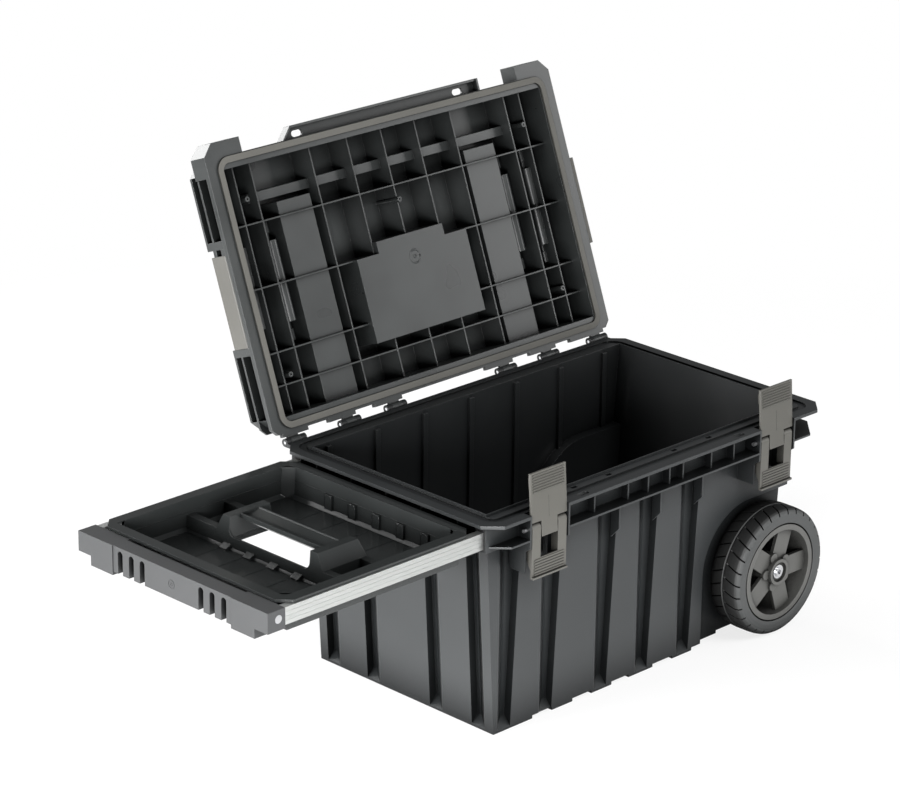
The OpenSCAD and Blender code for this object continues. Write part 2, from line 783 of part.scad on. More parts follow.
module lid_closed()
    difference() {
        union() {
            difference() {
                union() {
                    translate([0, 0, lid_z]) linear_extrude(lid_flange_t) lid_plate(0);
                    translate([0, 0, ledge_z - ledge_t]) linear_extrude(ledge_t) lid_plate(ledge_in);
                    both_ends() bumper(0, lid_z, ledge_z);
                    for (s = leaf_shares) box(s[0] * half_rim, s[1] * half_rim, lid_rear - over,
                        hinge_y - barrel_r - leaf_gap, lid_z, lid_z + lid_flange_t);
                    box(-lid_half_l - lid_wall, lid_half_l + lid_wall, -lid_half_d - lid_wall,
                        lid_half_d + lid_wall, lid_z, lid_top);
                }
                box(-lid_half_l, lid_half_l, -lid_half_d, lid_half_d, lid_z - over, lid_top - lid_wall);
            }
            lid_inside();
            lid_pads();
            for (s = lid_web_shares)
                box(s * half_rim, s * half_rim + web_t, -lid_edge + ledge_in, -lid_half_d, lid_z + over,
                    ledge_z - over);
            front_flange();
            both_ends() both_sides() end_block();
            lid_tabs();
            clip_ears();
        }
        lid_pad_hollows();
        both_ends() bumper_pocket();
        // room for the clips in the ledge
        both_ends() box(half_rim - web_back, half_rim + over, clip_y0 - seat, clip_y1 + seat,
            lid_z + lid_flange_t + over, ledge_z + over);
        translate([0, 0, lid_z - over]) linear_extrude(lid_groove + over) seal_loop(seal_w + 4 * fit);
        for (s = [-1, 1])
            translate([s * slot_x, -slot_y, lid_z]) linear_extrude(lid_h) obround(slot_l, slot_w);
        rod_x(-half_rim, half_rim, hinge_y, box_h, hinge_pin_r + fit);
        for (s = [-1, 1])
            rod_y(clip_y0 - clip_ear * 2, clip_y1 + clip_ear * 2, s * clip_x, clip_z, clip_pin_r + fit);
        for (p = boss_shares) translate([p[0] * lid_half_l, p[1] * lid_half_d, lid_z])
            cylinder(r = boss_hole_r, h = boss_inset * 2);
    }

module lid() color([0.27, 0.28, 0.28]) lid_open() lid_closed();

module lid_gasket() color([0.5, 0.5, 0.48])
    lid_open() translate([0, 0, box_h - seal_groove + seat])
        linear_extrude(seal_groove + lid_groove) seal_loop(seal_w);

module lid_hinge_pins() color("silver")
    for (s = knuckle_shares)
        rod_x(s * half_rim - barrel_l / 2 - lug_l, s * half_rim + barrel_l / 2 + lug_l, hinge_y, box_h,
            hinge_pin_r);

// Clip on one end of the lid, s is -1 on the left and 1 on the right
module stack_clip(s, swing) color([0.42, 0.42, 0.4])
    lid_open()
    translate([s * clip_x, 0, clip_z]) rotate([0, s * swing, 0]) translate([-s * clip_x, 0, -clip_z])
    difference() {
        union() {
            rod_y(clip_y0, clip_y1, s * clip_x, clip_z, clip_knuckle_r);
            translate([s > 0 ? clip_x + clip_knuckle_r - clip_t : -clip_x - clip_knuckle_r, clip_y0, clip_z])
                cube([clip_t, clip_y1 - clip_y0, clip_h]);
            translate([s > 0 ? clip_x + clip_knuckle_r - 2 * clip_t : -clip_x - clip_knuckle_r,
                clip_y0, clip_z + clip_h - clip_t]) cube([2 * clip_t, clip_y1 - clip_y0, clip_t]);
        }
        rod_y(clip_y0 - over, clip_y1 + over, s * clip_x, clip_z, clip_pin_r + fit);
    }

module stack_clip_pins() color("silver")
    lid_open() for (s = [-1, 1]) {
        rod_y(clip_y0 - clip_ear, clip_y0 + clip_ear, s * clip_x, clip_z, clip_pin_r);
        rod_y(clip_y1 - clip_ear, clip_y1 + clip_ear, s * clip_x, clip_z, clip_pin_r);
    }

// Upright cheek of a lever
module lever_cheek(x0, x1) {
    rod_x(x0, x1, -lever_y, lever_z, lever_head_r);
    along_x(x0, x1)
        polygon([[-lever_face, lever_z], [-lever_face, lever_z - lever_l + cheek_d],
            [-lever_face + latch_t, lever_z - lever_l + cheek_d], [-lever_face + cheek_d, lever_z - gap_l],
            [-lever_face + cheek_d, lever_z], [-lever_y, lever_z + over]]);
}

module latch_lever(s) color([0.42, 0.42, 0.4])
    translate([s * latch_x, 0, 0]) difference() {
        union() {
            box(-lever_w / 2, lever_w / 2, -lever_face, -lever_face + latch_t, lever_z - lever_l,
                lever_z - gap_l);
            box(-lever_w / 2, lever_w / 2, -lever_face - lip_out, -lever_face + latch_t,
                lever_z - lever_l, lever_z - lever_l + latch_t);
            for (i = [1:ridge_n])
                box(-lever_w / 2 + cheek_t, lever_w / 2 - cheek_t, -lever_face - ridge_h,
                    -lever_face + ridge_h, lever_z - lever_l + i * ridge_step,
                    lever_z - lever_l + (i + 0.5) * ridge_step);
            for (m = [0, 1]) mirror([m, 0, 0]) {
                box(gap_half, lever_w / 2, -lever_face, -lever_face + latch_t, lever_z - gap_l - over,
                    lever_z);
                rod_x(gap_half, lever_w / 2, -lever_y, lever_z, lever_head_r);
                lever_cheek(lever_w / 2 - cheek_t, lever_w / 2);
                lever_cheek(gap_half, gap_half + cheek_t * 0.75);
            }
        }
        rod_x(-lever_w, lever_w, -lever_y, lever_z, lever_pin_r + fit);
        rod_x(-lever_w, lever_w, -hook_y, hook_z, hook_pin_r + fit);
    }

module latch_hook(s) color([0.42, 0.42, 0.4])
    translate([s * latch_x, -hook_y, hook_z]) rotate([-hook_lean, 0, 0]) difference() {
        union() {
            box(-hook_w / 2, hook_w / 2, -hook_face, -hook_face + latch_t, tongue_l, hook_h);
            box(-tongue_half, tongue_half, -hook_face, -hook_face + latch_t, -hook_pin_r, tongue_l + over);
            box(-tongue_half, tongue_half, -hook_face, 0, -hook_pin_r, hook_pin_r);
            rod_x(-tongue_half, tongue_half, 0, 0, hook_pin_r * 2);
            along_x(-hook_w * 0.4, hook_w * 0.4)
                polygon([[-hook_face + latch_t - ridge_h, hook_h - latch_t],
                    [hook_reach, hook_h - hook_tip + hook_arm_t * 1.5],
                    [hook_reach, hook_h - hook_tip], [hook_reach - hook_tip_t, hook_h - hook_tip],
                    [hook_reach - hook_tip_t, hook_h - hook_tip + hook_arm_t],
                    [-hook_face + latch_t - ridge_h, hook_h - hook_arm_t]]);
        }
        rod_x(-hook_w, hook_w, 0, 0, hook_pin_r + fit);
    }

module latch_hook_pin(s) color("silver")
    translate([s * latch_x, 0, 0]) rod_x(-lever_w / 2, lever_w / 2, -hook_y, hook_z, hook_pin_r);

module latch_pivot_pins() color("silver")
    both_latches() for (m = [0, 1]) mirror([m, 0, 0])
        rod_x(lever_w / 2 - stub_in, recess_half + stub_out, -lever_y, lever_z, lever_pin_r);

module rail() color([0.82, 0.83, 0.82])
    difference() {
        box(rail_x0, rail_x1, rail_y0, rail_y1, rail_z0, rail_z1);
        box(rail_x0 - over, rail_x1 + over, rail_y0 + rail_wall, rail_y1 - rail_wall,
            rail_z0 + rail_wall, rail_z1 - rail_wall);
        for (q = [0.25, 0.5, 0.75])
            box(rail_x0 - over, rail_x1 + over, rail_y1 - groove_line, rail_y1 + over,
                rail_z0 + q * rail_h - groove_line, rail_z0 + q * rail_h + groove_line);
        rod_y(rail_y0 - over, rail_y1 + over, -grip_in - screw_in, rail_zc, screw_r + fit);
    }

module rail_front() mirror([0, 1, 0]) rail();
module rail_rear() rail();

// Space that a rail takes up, grown by g
module rail_space(x0, x1, g)
    box(x0, x1, rail_y0 - g, rail_y1 + g, rail_z0 - g, rail_z1 + g);

module handle_grip() color([0.33, 0.34, 0.34])
    difference() {
        union() {
            box(-grip_x, -grip_in, -grip_l / 2, grip_l / 2, grip_z1 - grip_end_h, grip_z1);
            both_sides() box(-grip_x, -grip_in, grip_mid_half, grip_block_half, grip_z0, grip_z1);
            box(-grip_x + pass, -grip_in - grip_setback, -grip_mid_half - over, grip_mid_half + over,
                grip_z1 - grip_mid_h, grip_z1 - seat);
        }
        // slit behind the middle part
        box(-grip_in - grip_setback, -grip_in + over, -grip_mid_half, grip_mid_half, grip_z0 - over,
            grip_z1 + over);
        box(-grip_x - over, -grip_x + pass, -grip_mid_half, grip_mid_half, grip_z0 - over, grip_z1 + over);
        // slots with a round upper end
        for (q = grip_slot_shares) {
            box(-grip_x - over, -grip_x + grip_slot_d, q * grip_l / 2 - grip_slot_w / 2,
                q * grip_l / 2 + grip_slot_w / 2, grip_z0 - over, grip_z0 + grip_slot_h);
            translate([-grip_x - over, q * grip_l / 2, grip_z0 + grip_slot_h]) rotate([0, 90, 0])
                cylinder(r = grip_slot_w / 2, h = grip_slot_d + over);
        }
        both_sides() {
            rail_space(-grip_in - grip_socket, -grip_in + over, fit);
            rod_y(rail_y1 - over, grip_l / 2 + over, -grip_in - screw_in, rail_zc, screw_head_r + fit);
            rod_y(rail_y0 - screw_in, rail_y1, -grip_in - screw_in, rail_zc, screw_r + fit);
        }
    }

module grip_screws() color("silver")
    both_sides() {
        rod_y(rail_y1, grip_l / 2, -grip_in - screw_in, rail_zc, screw_head_r);
        rod_y(rail_y0 - screw_in + over, rail_y1 + fit, -grip_in - screw_in, rail_zc, screw_r);
    }

module rail_stop() color([0.2, 0.2, 0.2])
    difference() {
        box(rail_x1 - stop_l + pass, rail_x1 + pass, rail_y0 - stop_t, rail_y1 + stop_t,
            rail_z0 - stop_t, rail_z1 + stop_t);
        rail_space(rail_x1 - stop_l, rail_x1, fit);
    }

module rail_stop_front() mirror([0, 1, 0]) rail_stop();
module rail_stop_rear() rail_stop();

module rail_guide() color([0.2, 0.2, 0.2])
    difference() {
        box(guide_x0, guide_x0 + guide_l, rail_y0 - pass + seat / 2, tunnel_y - seat,
            tunnel_z0 + tunnel_floor + seat, box_h - rim_t - pass - seat);
        rail_space(guide_x0 - over, guide_x0 + guide_l + over, seat);
    }

module rail_guide_front() mirror([0, 1, 0]) rail_guide();
module rail_guide_rear() rail_guide();

// Basin of the tray, or its hollow when set in by g
module tray_form(g, z0)
    along_y(-tray_basin + g, tray_basin - g)
        polygon([[tray_x0 + tray_rim + g, tray_z1 + (g > 0 ? over : 0)],
            [tray_x0 + tray_rim + tray_draft + g, z0],
            [tray_x1 - tray_rim - tray_draft - g, z0],
            [tray_x1 - tray_rim - g, tray_z1 + (g > 0 ? over : 0)]]);

// Outline of the spine across the tray, drawn in by g
module spine_form(g) {
    low = tray_z0 - (g > 0 ? over : 0);
    polygon([[spine_x - spine_half - spine_draft + g, low], [spine_x + spine_half + spine_draft_in - g, low],
        [spine_x + spine_half - g, tray_z1], [spine_x - spine_half + g, tray_z1]]);
}

// Spine with a tower at each end of the carry bar and low walls round the end cells
module tray_spine() {
    end = tray_basin - over;
    top = bar_half + tower_t;
    cell_z = tray_z0 + cell_h;
    difference() {
        intersection() {
            along_y(-end, end) spine_form(0);
            along_x(tray_x0, tray_x1)
                polygon([[-end, tray_z0], [end, tray_z0], [end, cell_z], [top + tower_slope, cell_z],
                    [top, tray_z1], [-top, tray_z1], [-top - tower_slope, cell_z], [-end, cell_z]]);
        }
        // opening below the carry bar, through both walls
        along_x(tray_x0, tray_x1) {
            translate([-bar_half, tray_z0 + tray_wall + spine_top + bar_corner]) square([bar_l, tray_h]);
            translate([-bar_half + bar_corner, tray_z0 + tray_wall + spine_top])
                square([bar_l - 2 * bar_corner, tray_h]);
            for (y = [-1, 1])
                translate([y * (bar_half - bar_corner), tray_z0 + tray_wall + spine_top + bar_corner])
                    circle(bar_corner);
        }
        // hollow below, between the walls
        along_y(-bar_half, bar_half) spine_form(tray_wall);
        intersection() {
            along_y(-top, top) spine_form(tray_wall);
            box(tray_x0, tray_x1, -top, top, tray_z0 - over, tray_z0 + hollow_h);
        }
        // small cells at the ends
        both_sides() box(spine_x - spine_half - spine_draft / 2 + cell_wall, spine_x + spine_half - cell_wall / 2,
            top + tower_slope, tray_basin - tray_wall, tray_z0 + tray_wall, tray_z1);
    }
}

// Carry bar, with a trough along its top
module carry_bar()
    along_y(-bar_half - over, bar_half + over) translate([spine_x, tray_z1])
        polygon([[-bar_w / 2, 0], [-bar_w / 2 + bar_edge, 0], [-bar_w / 2 + bar_edge * 1.5, -bar_trough],
            [-bar_w * 0.06, -bar_trough], [bar_w / 2 - bar_edge * 1.6, -bar_edge * 0.6],
            [bar_w / 2 - bar_edge, 0], [bar_w / 2, 0], [bar_w / 2, -bar_t * 0.6], [bar_w / 2 - bar_trough, -bar_t],
            [-bar_w / 2 + bar_trough, -bar_t], [-bar_w / 2, -bar_t * 0.6]]);

// Frames on the far wall and tabs at the foot of the spine, which take loose dividers
module divider_seats()
    for (q = divider_shares) {
        box(tray_x1 - tray_rim - tray_wall - tray_draft - divider_t, tray_x1 - tray_rim - tray_wall,
            q * tray_basin, q * tray_basin + divider_w, tray_z0 + over, tray_z0 + divider_h);
        along_y(q * tray_basin, q * tray_basin + divider_w)
            translate([spine_x - spine_half - spine_draft, tray_z0 + tray_wall])
                polygon([[-tab_l, -over], [-tab_l, tab_h / 3], [over, tab_h], [over, -over]]);
    }

module tray() color([0.3, 0.31, 0.31]) {
    difference() {
        union() {
            translate([0, 0, tray_z1 - tray_rim_t]) linear_extrude(tray_rim_t)
                bevel_rect(tray_x0, tray_x1, -tray_half, tray_half, tray_corner);
            tray_form(0, tray_z0);
        }
        tray_form(tray_wall, tray_z0 + tray_wall);
        // no floor below the spine, where fingers go in from below
        along_y(-bar_half - tower_t, bar_half + tower_t) spine_form(tray_wall);
    }
    tray_spine();
    carry_bar();
    divider_seats();
}

// Places a wheel piece, given with its axis along z and its outer face up
module at_wheel(side)
    translate([wheel_x, side * wheel_in, wheel_z]) rotate([-90 * side, 0, 0]) children();

module tyre(side) color([0.17, 0.17, 0.17])
    at_wheel(side) rotate_extrude($fn = 96)
        polygon([[disc_r - rim_back, rim_wall], [disc_r + tyre_lip, pass], [wheel_r - shoulder, 0],
            [wheel_r - tyre_lip, shoulder_in], [wheel_r, shoulder + shoulder_in],
            [wheel_r, wheel_w - shoulder - shoulder_in], [wheel_r - tyre_lip, wheel_w - shoulder_in],
            [wheel_r - shoulder, wheel_w], [disc_r + tyre_lip, wheel_w - seat],
            [disc_r + seat, wheel_w - shoulder], [disc_r - rim_back, wheel_w - shoulder]]);

module wheel_disc(side) color([0.36, 0.36, 0.36])
    at_wheel(side) difference() {
        union() {
            rotate_extrude($fn = 96)
                polygon([[disc_r - rim_back - rim_wall, rim_wall], [disc_r - rim_back - fit, rim_wall],
                    [disc_r - rim_back - fit, wheel_w - shoulder + seat],
                    [disc_r, wheel_w - shoulder + seat],
                    [disc_r, wheel_w - hub_back], [disc_r - rim_back - rim_wall, wheel_w - hub_back]]);
            translate([0, 0, hub_back]) cylinder(r = hub_r, h = wheel_w - 2 * hub_back);
            for (i = [0:spoke_n - 1]) rotate(i * 360 / spoke_n) {
                translate([hub_r - rim_back, -spoke_w / 2, wheel_w - spoke_back - spoke_t])
                    cube([disc_r - rim_wall - hub_r + rim_back / 2, spoke_w, spoke_t]);
                rotate(180 / spoke_n) translate([lug_ring - rim_back, 0, wheel_w - spoke_back - 2 * spoke_t])
                    cylinder(r = lug_r + rim_back, h = 2 * spoke_t + rim_back);
            }
        }
        translate([0, 0, -over]) cylinder(r = axle_r + bush_wall + fit, h = wheel_w + 2 * over);
        translate([0, 0, wheel_w - hub_back - rim_wall]) cylinder(r = hub_r - rim_wall, h = rim_wall * 2);
    }

module wheel_bush(side) color([0.12, 0.12, 0.12])
    at_wheel(side) translate([0, 0, hub_back]) difference() {
        cylinder(r = axle_r + bush_wall, h = wheel_w - 2 * hub_back - rim_wall);
        translate([0, 0, -over]) cylinder(r = axle_r + fit, h = wheel_w);
    }

module axle(side) color("silver")
    translate([wheel_x, 0, wheel_z]) rotate([-90 * side, 0, 0]) difference() {
        translate([0, 0, axle_in])
            cylinder(r = axle_r, h = wheel_out - hub_back - axle_end + ring_t - axle_in);
        translate([0, 0, wheel_out - hub_back - axle_end + ring_t - socket_d])
            cylinder(r = socket_r, h = socket_d + over);
    }

module ring_at(side, y0, r, t)
    translate([wheel_x, 0, wheel_z]) rotate([-90 * side, 0, 0]) translate([0, 0, y0]) difference() {
        cylinder(r = r, h = t);
        translate([0, 0, -over]) cylinder(r = axle_r + fit, h = t + 2 * over);
    }

module axle_nuts() color("silver")
    for (side = [-1, 1]) translate([wheel_x, 0, wheel_z]) rotate([-90 * side, 0, 0])
        translate([0, 0, arch_wall_y - 2 * wall - seat - nut_t]) difference() {
            cylinder(r = nut_r, h = nut_t, $fn = 6);
            translate([0, 0, -over]) cylinder(r = axle_r + fit, h = nut_t + 2 * over);
        }

module axle_rings() color("white")
    for (side = [-1, 1]) ring_at(side, wheel_out - hub_back - rim_wall + seat, ring_r, ring_t);

module wheel_washers() color("silver")
    for (side = [-1, 1]) ring_at(side, arch_wall_y + wall + seat, ring_r * 1.4, washer_t);

tub();
lid();
lid_gasket();
lid_hinge_pins();
stack_clip(-1, 0);  // stack_clip_left
stack_clip(1, clip_swing);  // stack_clip_right
stack_clip_pins();
latch_lever(-1);  // latch_lever_left
latch_lever(1);  // latch_lever_right
latch_hook(-1);  // latch_hook_left
latch_hook(1);  // latch_hook_right
latch_hook_pin(-1);  // latch_hook_pin_left
latch_hook_pin(1);  // latch_hook_pin_right
latch_pivot_pins();
handle_grip();
rail_front();
rail_rear();
grip_screws();
rail_stop_front();
rail_stop_rear();
rail_guide_front();
rail_guide_rear();
tray();
axle(-1);  // axle_front
axle(1);  // axle_rear
axle_nuts();
axle_rings();
wheel_washers();
tyre(-1);  // tyre_front
tyre(1);  // tyre_rear
wheel_disc(-1);  // wheel_disc_front
wheel_disc(1);  // wheel_disc_rear
wheel_bush(-1);  // wheel_bush_front
wheel_bush(1);  // wheel_bush_rear
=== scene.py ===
import json
import math

import bmesh
import bpy
import numpy as np
from mathutils import Matrix, Vector


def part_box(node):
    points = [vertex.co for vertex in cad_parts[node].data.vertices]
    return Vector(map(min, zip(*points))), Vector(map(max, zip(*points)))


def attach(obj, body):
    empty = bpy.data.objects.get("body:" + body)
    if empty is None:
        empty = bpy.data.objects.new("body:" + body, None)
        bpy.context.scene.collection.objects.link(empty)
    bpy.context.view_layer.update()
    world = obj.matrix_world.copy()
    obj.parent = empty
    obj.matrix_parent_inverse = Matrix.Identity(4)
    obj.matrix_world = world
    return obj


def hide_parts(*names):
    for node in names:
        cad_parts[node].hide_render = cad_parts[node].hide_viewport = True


bl_info = {
    "name": "Rolling storage box",
    "version": (1, 0, 0),
    "blender": (4, 5, 0),
    "location": "View3D > Sidebar > Storage Box",
    "description": "Dresses the rolling storage box: moulded plastic, rails, seal, tyres and studio",
    "category": "Object",
}

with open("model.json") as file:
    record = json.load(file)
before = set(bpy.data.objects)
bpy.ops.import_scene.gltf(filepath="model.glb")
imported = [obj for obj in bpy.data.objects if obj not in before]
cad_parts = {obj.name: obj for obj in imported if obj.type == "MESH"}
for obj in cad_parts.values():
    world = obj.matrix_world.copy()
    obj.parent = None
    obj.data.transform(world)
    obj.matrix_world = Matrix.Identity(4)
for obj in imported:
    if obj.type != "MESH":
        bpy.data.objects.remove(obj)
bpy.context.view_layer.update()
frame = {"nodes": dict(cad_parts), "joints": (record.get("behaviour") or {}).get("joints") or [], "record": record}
NODES = frame["nodes"]
NODE_BODY = {node: body for body, nodes in frame["record"]["behaviour"]["bodies"].items() for node in nodes}
NODE_SLOT = {part["node"]: part["material_slot"] for part in frame["record"]["subparts"]}
JOINTS = {joint["name"]: joint for joint in frame["joints"]}
MM = 0.001
TAU = 2 * math.pi

# Facts of the camera, fitted to the straight edges of the photograph
CAMERA_AIM = Vector((-0.20076, 0.0, 0.37524))
CAMERA_AZIMUTH = -44.85
CAMERA_ELEVATION = 20.46
CAMERA_ROLL = 0.65
CAMERA_DISTANCE = 4.2803
CAMERA_LENS = 143.68
CAMERA_SHIFT = (0.0088, -0.0047)

# Places on the CAD solids that the relief sits on, in mm: the tray's basin is set in from the tray's box by
# these, its walls lean by BASIN_LEAN over their height, and the spine that carries its bar has one foot on
# each side
BASIN_ENDS, BASIN_SIDES, BASIN_FLOOR, BASIN_LEAN, TRAY_WALL = 17.5, 15.0, 2.5, 3.0, 2.5
SPINE_SHIFT, SPINE_NEAR, SPINE_FAR = 4.5, 34.8, 41.9

# The fillets at the spine's feet, as a share of those at the foot of the walls
SPINE_FILLET = 0.6

# The basin's corner fillets end RIM_DROP below the tray's rim, and a fine step runs round it STEP_DROP lower
RIM_DROP = 0.4
STEP_DROP = 16.0

# Loose dividers: places along the basin as shares of its half length, and the round topped frame of each. The
# frame's line stands off the end wall by DIVIDER_PROUD, and all lines are half round beads
DIVIDER_SHARES = (-0.68, -0.4, -0.12, 0.16, 0.44)
DIVIDER_RADIUS = 6.0
DIVIDER_HEIGHT = 15.5
DIVIDER_PROUD = 1.6
LINE_WIDTH = 0.9
STEP_PROUD, LINE_PROUD = 0.5, 0.45

# Hook plates, in mm: how far the face stands off the hook pin, its lean, its ridges and the line below them
HOOK_FACE = 7.5
HOOK_LEAN = math.radians(4.0)
RIDGE_TOP, RIDGE_STEP, RIDGE_HALF = 75.5, 3.4, 26.0
RIDGE_WIDTH, RIDGE_PROUD = 1.6, 1.0
SEAM_FROM, SEAM_TO, SEAM_WIDTH, SEAM_PROUD = 20.0, 46.0, 0.8, 0.3

# Gate marks, in mm: the middle of each, and the radius, width and height of its rings
GRIP_GATE_IN, GRIP_GATE_UP = 1.0, 2.0
GRIP_GATE_RINGS = ((5.0, 0.9, 0.4), (1.6, 0.9, 0.4))
LID_GATE = (0.0, 12.0, 292.8)
LID_GATE_RINGS = ((8.5, 2.4, 0.35), (2.0, 1.2, 0.5))
RING_POINTS = 49

# Tyres: points round a section, and the depth of the groove in the middle of the tread, in metres
SECTION_POINTS = 150
MIDDLE_GROOVE = 0.0012

# Tread: the columns of the grid in one block, as shares of its pitch, and which of them lie in the cut. The
# cuts begin CUT_LOW of the radius out, and RIB_HALF of the half width off the middle, and reach their full
# depth over the next CUT_RISE and RIB_RISE. Each side's cuts stand SIDE_SHIFT of a block off the middle, one
# side forwards and the other back. Past SHOULDER_FROM of the half width the cuts also go into the side wall,
# by SHOULDER_SHARE of their depth
BLOCK_COLUMNS = (0.0, 0.012, 0.105, 0.117, 0.34, 0.56, 0.78)
BLOCK_CUTS = (0, 1, 1, 0, 0, 0, 0)
CUT_LOW, CUT_RISE = 0.915, 0.03
RIB_HALF, RIB_RISE = 0.1, 0.06
SIDE_SHIFT = 0.25
SHOULDER_FROM, SHOULDER_SHARE = 0.85, 0.8

# Lamps: place and width in metres. Each has its power among the studio's settings, and all face LAMP_AIM
LAMPS = {
    "left": ((-3.0, 0.8, 0.6), 1.2),
    "near": ((-1.7, -1.7, 0.45), 0.7),
    "high": ((0.2, -2.4, 2.5), 1.2),
    "right": ((3.5, -2.1, 1.3), 1.8),
    "back": ((-0.6, 3.6, 1.8), 2.6),
}
LAMP_AIM = Vector((-0.1, 0.0, 0.3))

# Floor, in metres: its far edges, and where its own glow to the camera rises from FLOOR_GLOW to 1
FLOOR_FAR = 5.0
FLOOR_FADE = (0.6, 1.6)
FLOOR_GLOW = 0.72

# The hinge line of the lid and how far the lid stands open
LID_AXIS_Y, LID_AXIS_Z = JOINTS["lid_hinge"]["pos_m"][1:]
LID_OPEN = math.radians(JOINTS["lid_hinge"]["range_deg"][1])


# Shapes

def place_mesh(name, points, faces, sharp_angle=35.0):
    """Mesh object from points in metres and a face array, shaded smooth up to sharp_angle."""
    mesh = bpy.data.meshes.new(name)
    mesh.from_pydata(np.asarray(points, float).reshape(-1, 3).tolist(), [], np.asarray(faces).tolist())
    mesh.validate()
    piece = bpy.data.objects.new(name, mesh)
    bpy.context.scene.collection.objects.link(piece)
    return shade_by_angle(piece, sharp_angle)


def shade_by_angle(piece, angle):
    """Smooth faces, with every edge that turns by more than angle degrees kept sharp."""
    shape = bmesh.new()
    shape.from_mesh(piece.data)
    for face in shape.faces:
        face.smooth = True
    for edge in shape.edges:
        if len(edge.link_faces) == 2:
            edge.smooth = edge.calc_face_angle(0.0) < math.radians(angle)
    shape.to_mesh(piece.data)
    shape.free()
    return piece


def grid_faces(rows, columns, wrap_rows, wrap_columns):
    """Quads that join each grid point to its neighbours, as one array."""
    r = np.arange(rows if wrap_rows else rows - 1)
    c = np.arange(columns if wrap_columns else columns - 1)
    r, c = np.meshgrid(r, c, indexing="ij")
    r1, c1 = (r + 1) % rows, (c + 1) % columns
    quads = np.stack([r * columns + c, r * columns + c1, r1 * columns + c1, r1 * columns + c], -1)
    return quads.reshape(-1, 4)


def resample(profile, count):
    """A closed outline with count points spaced evenly along its length."""
    p = np.vstack([profile, profile[:1]])
    run = np.concatenate([[0], np.cumsum(np.linalg.norm(np.diff(p, axis=0), axis=1))])
    at = np.linspace(0, run[-1], count, endpoint=False)
    return np.stack([np.interp(at, run, p[:, k]) for k in range(2)], -1)


def wheel_place(points, side):
    """Wheel points with the axis along z, turned to run outwards along y and set on the axle: x = x0 + x,
    y = side (inner face + z), z = z0 - side y."""
    x0, _, z0 = JOINTS["wheel_front_spin"]["pos_m"]
    low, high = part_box("tyre_rear")
    p = np.asarray(points, float)
    return np.stack([x0 + p[..., 0], side * (low.y + p[..., 2]), z0 + p[..., 1] * -side], -1)


def lid_place(points):
    """Points of the closed lid turned to the open lid: y and z turn by the opening angle about the hinge."""
    p = np.asarray(points, float)
    c, s = math.cos(-LID_OPEN), math.sin(-LID_OPEN)
    y, z = p[..., 1] - LID_AXIS_Y, p[..., 2] - LID_AXIS_Z
    return np.stack([p[..., 0], LID_AXIS_Y + y * c - z * s, LID_AXIS_Z + y * s + z * c], -1)


def swept(path, width_way, height_way, outline):
    """A closed outline of (w, h) carried along a path: point = path + w * width_way + h * height_way."""
    path, w, h = (np.array(v, float) for v in (path, width_way, height_way))
    o = np.asarray(outline, float)
    w, h = np.broadcast_to(w, path.shape), np.broadcast_to(h, path.shape)
    return path[:, None] + o[None, :, :1] * w[:, None] + o[None, :, 1:] * h[:, None]


def swept_faces(rows, columns):
    """Side quads of a swept outline and its two end faces."""
    ends = [list(range(columns))[::-1], [(rows - 1) * columns + k for k in range(columns)]]
    return grid_faces(rows, columns, False, True).tolist() + ends


def fillet_outline(radius, sunk=0.5, steps=8):
    """Hollow fillet of a corner, in mm: the arc r - r sin t, r - r cos t from one wall to the other, closed
    by a corner that lies sunk mm inside both walls."""
    t = np.linspace(0, math.pi / 2, steps + 1)
    arc = np.stack([radius - radius * np.sin(t), radius - radius * np.cos(t)], -1)
    return np.vstack([[-sunk, -sunk], [-sunk, radius], arc, [radius, -sunk]])


def ring_outline(width, height, steps=6):
    """Half round bead of the given width and height: w = width/2 cos t, h = height sin t, closed below."""
    t = np.linspace(0, math.pi, steps + 1)
    return np.stack([width / 2 * np.cos(t), height * np.sin(t)], -1)


def outward(piece):
    """Faces of a closed piece all pointing outwards."""
    shape = bmesh.new()
    shape.from_mesh(piece.data)
    bmesh.ops.remove_doubles(shape, verts=shape.verts, dist=1e-7)
    bmesh.ops.recalc_face_normals(shape, faces=shape.faces)
    shape.to_mesh(piece.data)
    shape.free()
    return piece


def dress(piece, material):
    """One material over the whole piece."""
    piece.data.materials.clear()
    piece.data.materials.append(material)
    piece.data.polygons.foreach_set("material_index", np.zeros(len(piece.data.polygons), np.int32))
    return piece


def stand_for(piece, node, material):
    """The piece takes the place, body and slot of a CAD node."""
    dress(piece, material)
    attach(piece, NODE_BODY[node])
    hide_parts(node)
    return piece


def add_to(piece, body, material):
    """A new piece that rides on a body and takes its finish from a slot."""
    dress(piece, material)
    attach(piece, body)
    return piece


# Finishes

def linear(colour):
    """Linear RGBA from an sRGB hex colour."""
    parts = [int(colour[i:i + 2], 16) / 255 for i in (1, 3, 5)]
    return [c / 12.92 if c <= 0.04045 else ((c + 0.055) / 1.055) ** 2.4 for c in parts] + [1.0]


def node_in(tree, kind, settings=None, inputs=None):
    """Adds a node; settings are its own properties, inputs are values or sockets to link."""
    node = tree.nodes.new("ShaderNode" + kind)
    for name, value in (settings or {}).items():
        setattr(node, name, value)
    for name, value in (inputs or {}).items():
        socket = node.inputs[name]
        if isinstance(value, bpy.types.NodeSocket):
            tree.links.new(value, socket)
        else:
            socket.default_value = value
    return node


def new_material(name):
    """An empty material with its output node."""
    material = bpy.data.materials.new(name)
    material.use_nodes = True
    material.node_tree.nodes.clear()
    return material, node_in(material.node_tree, "OutputMaterial")


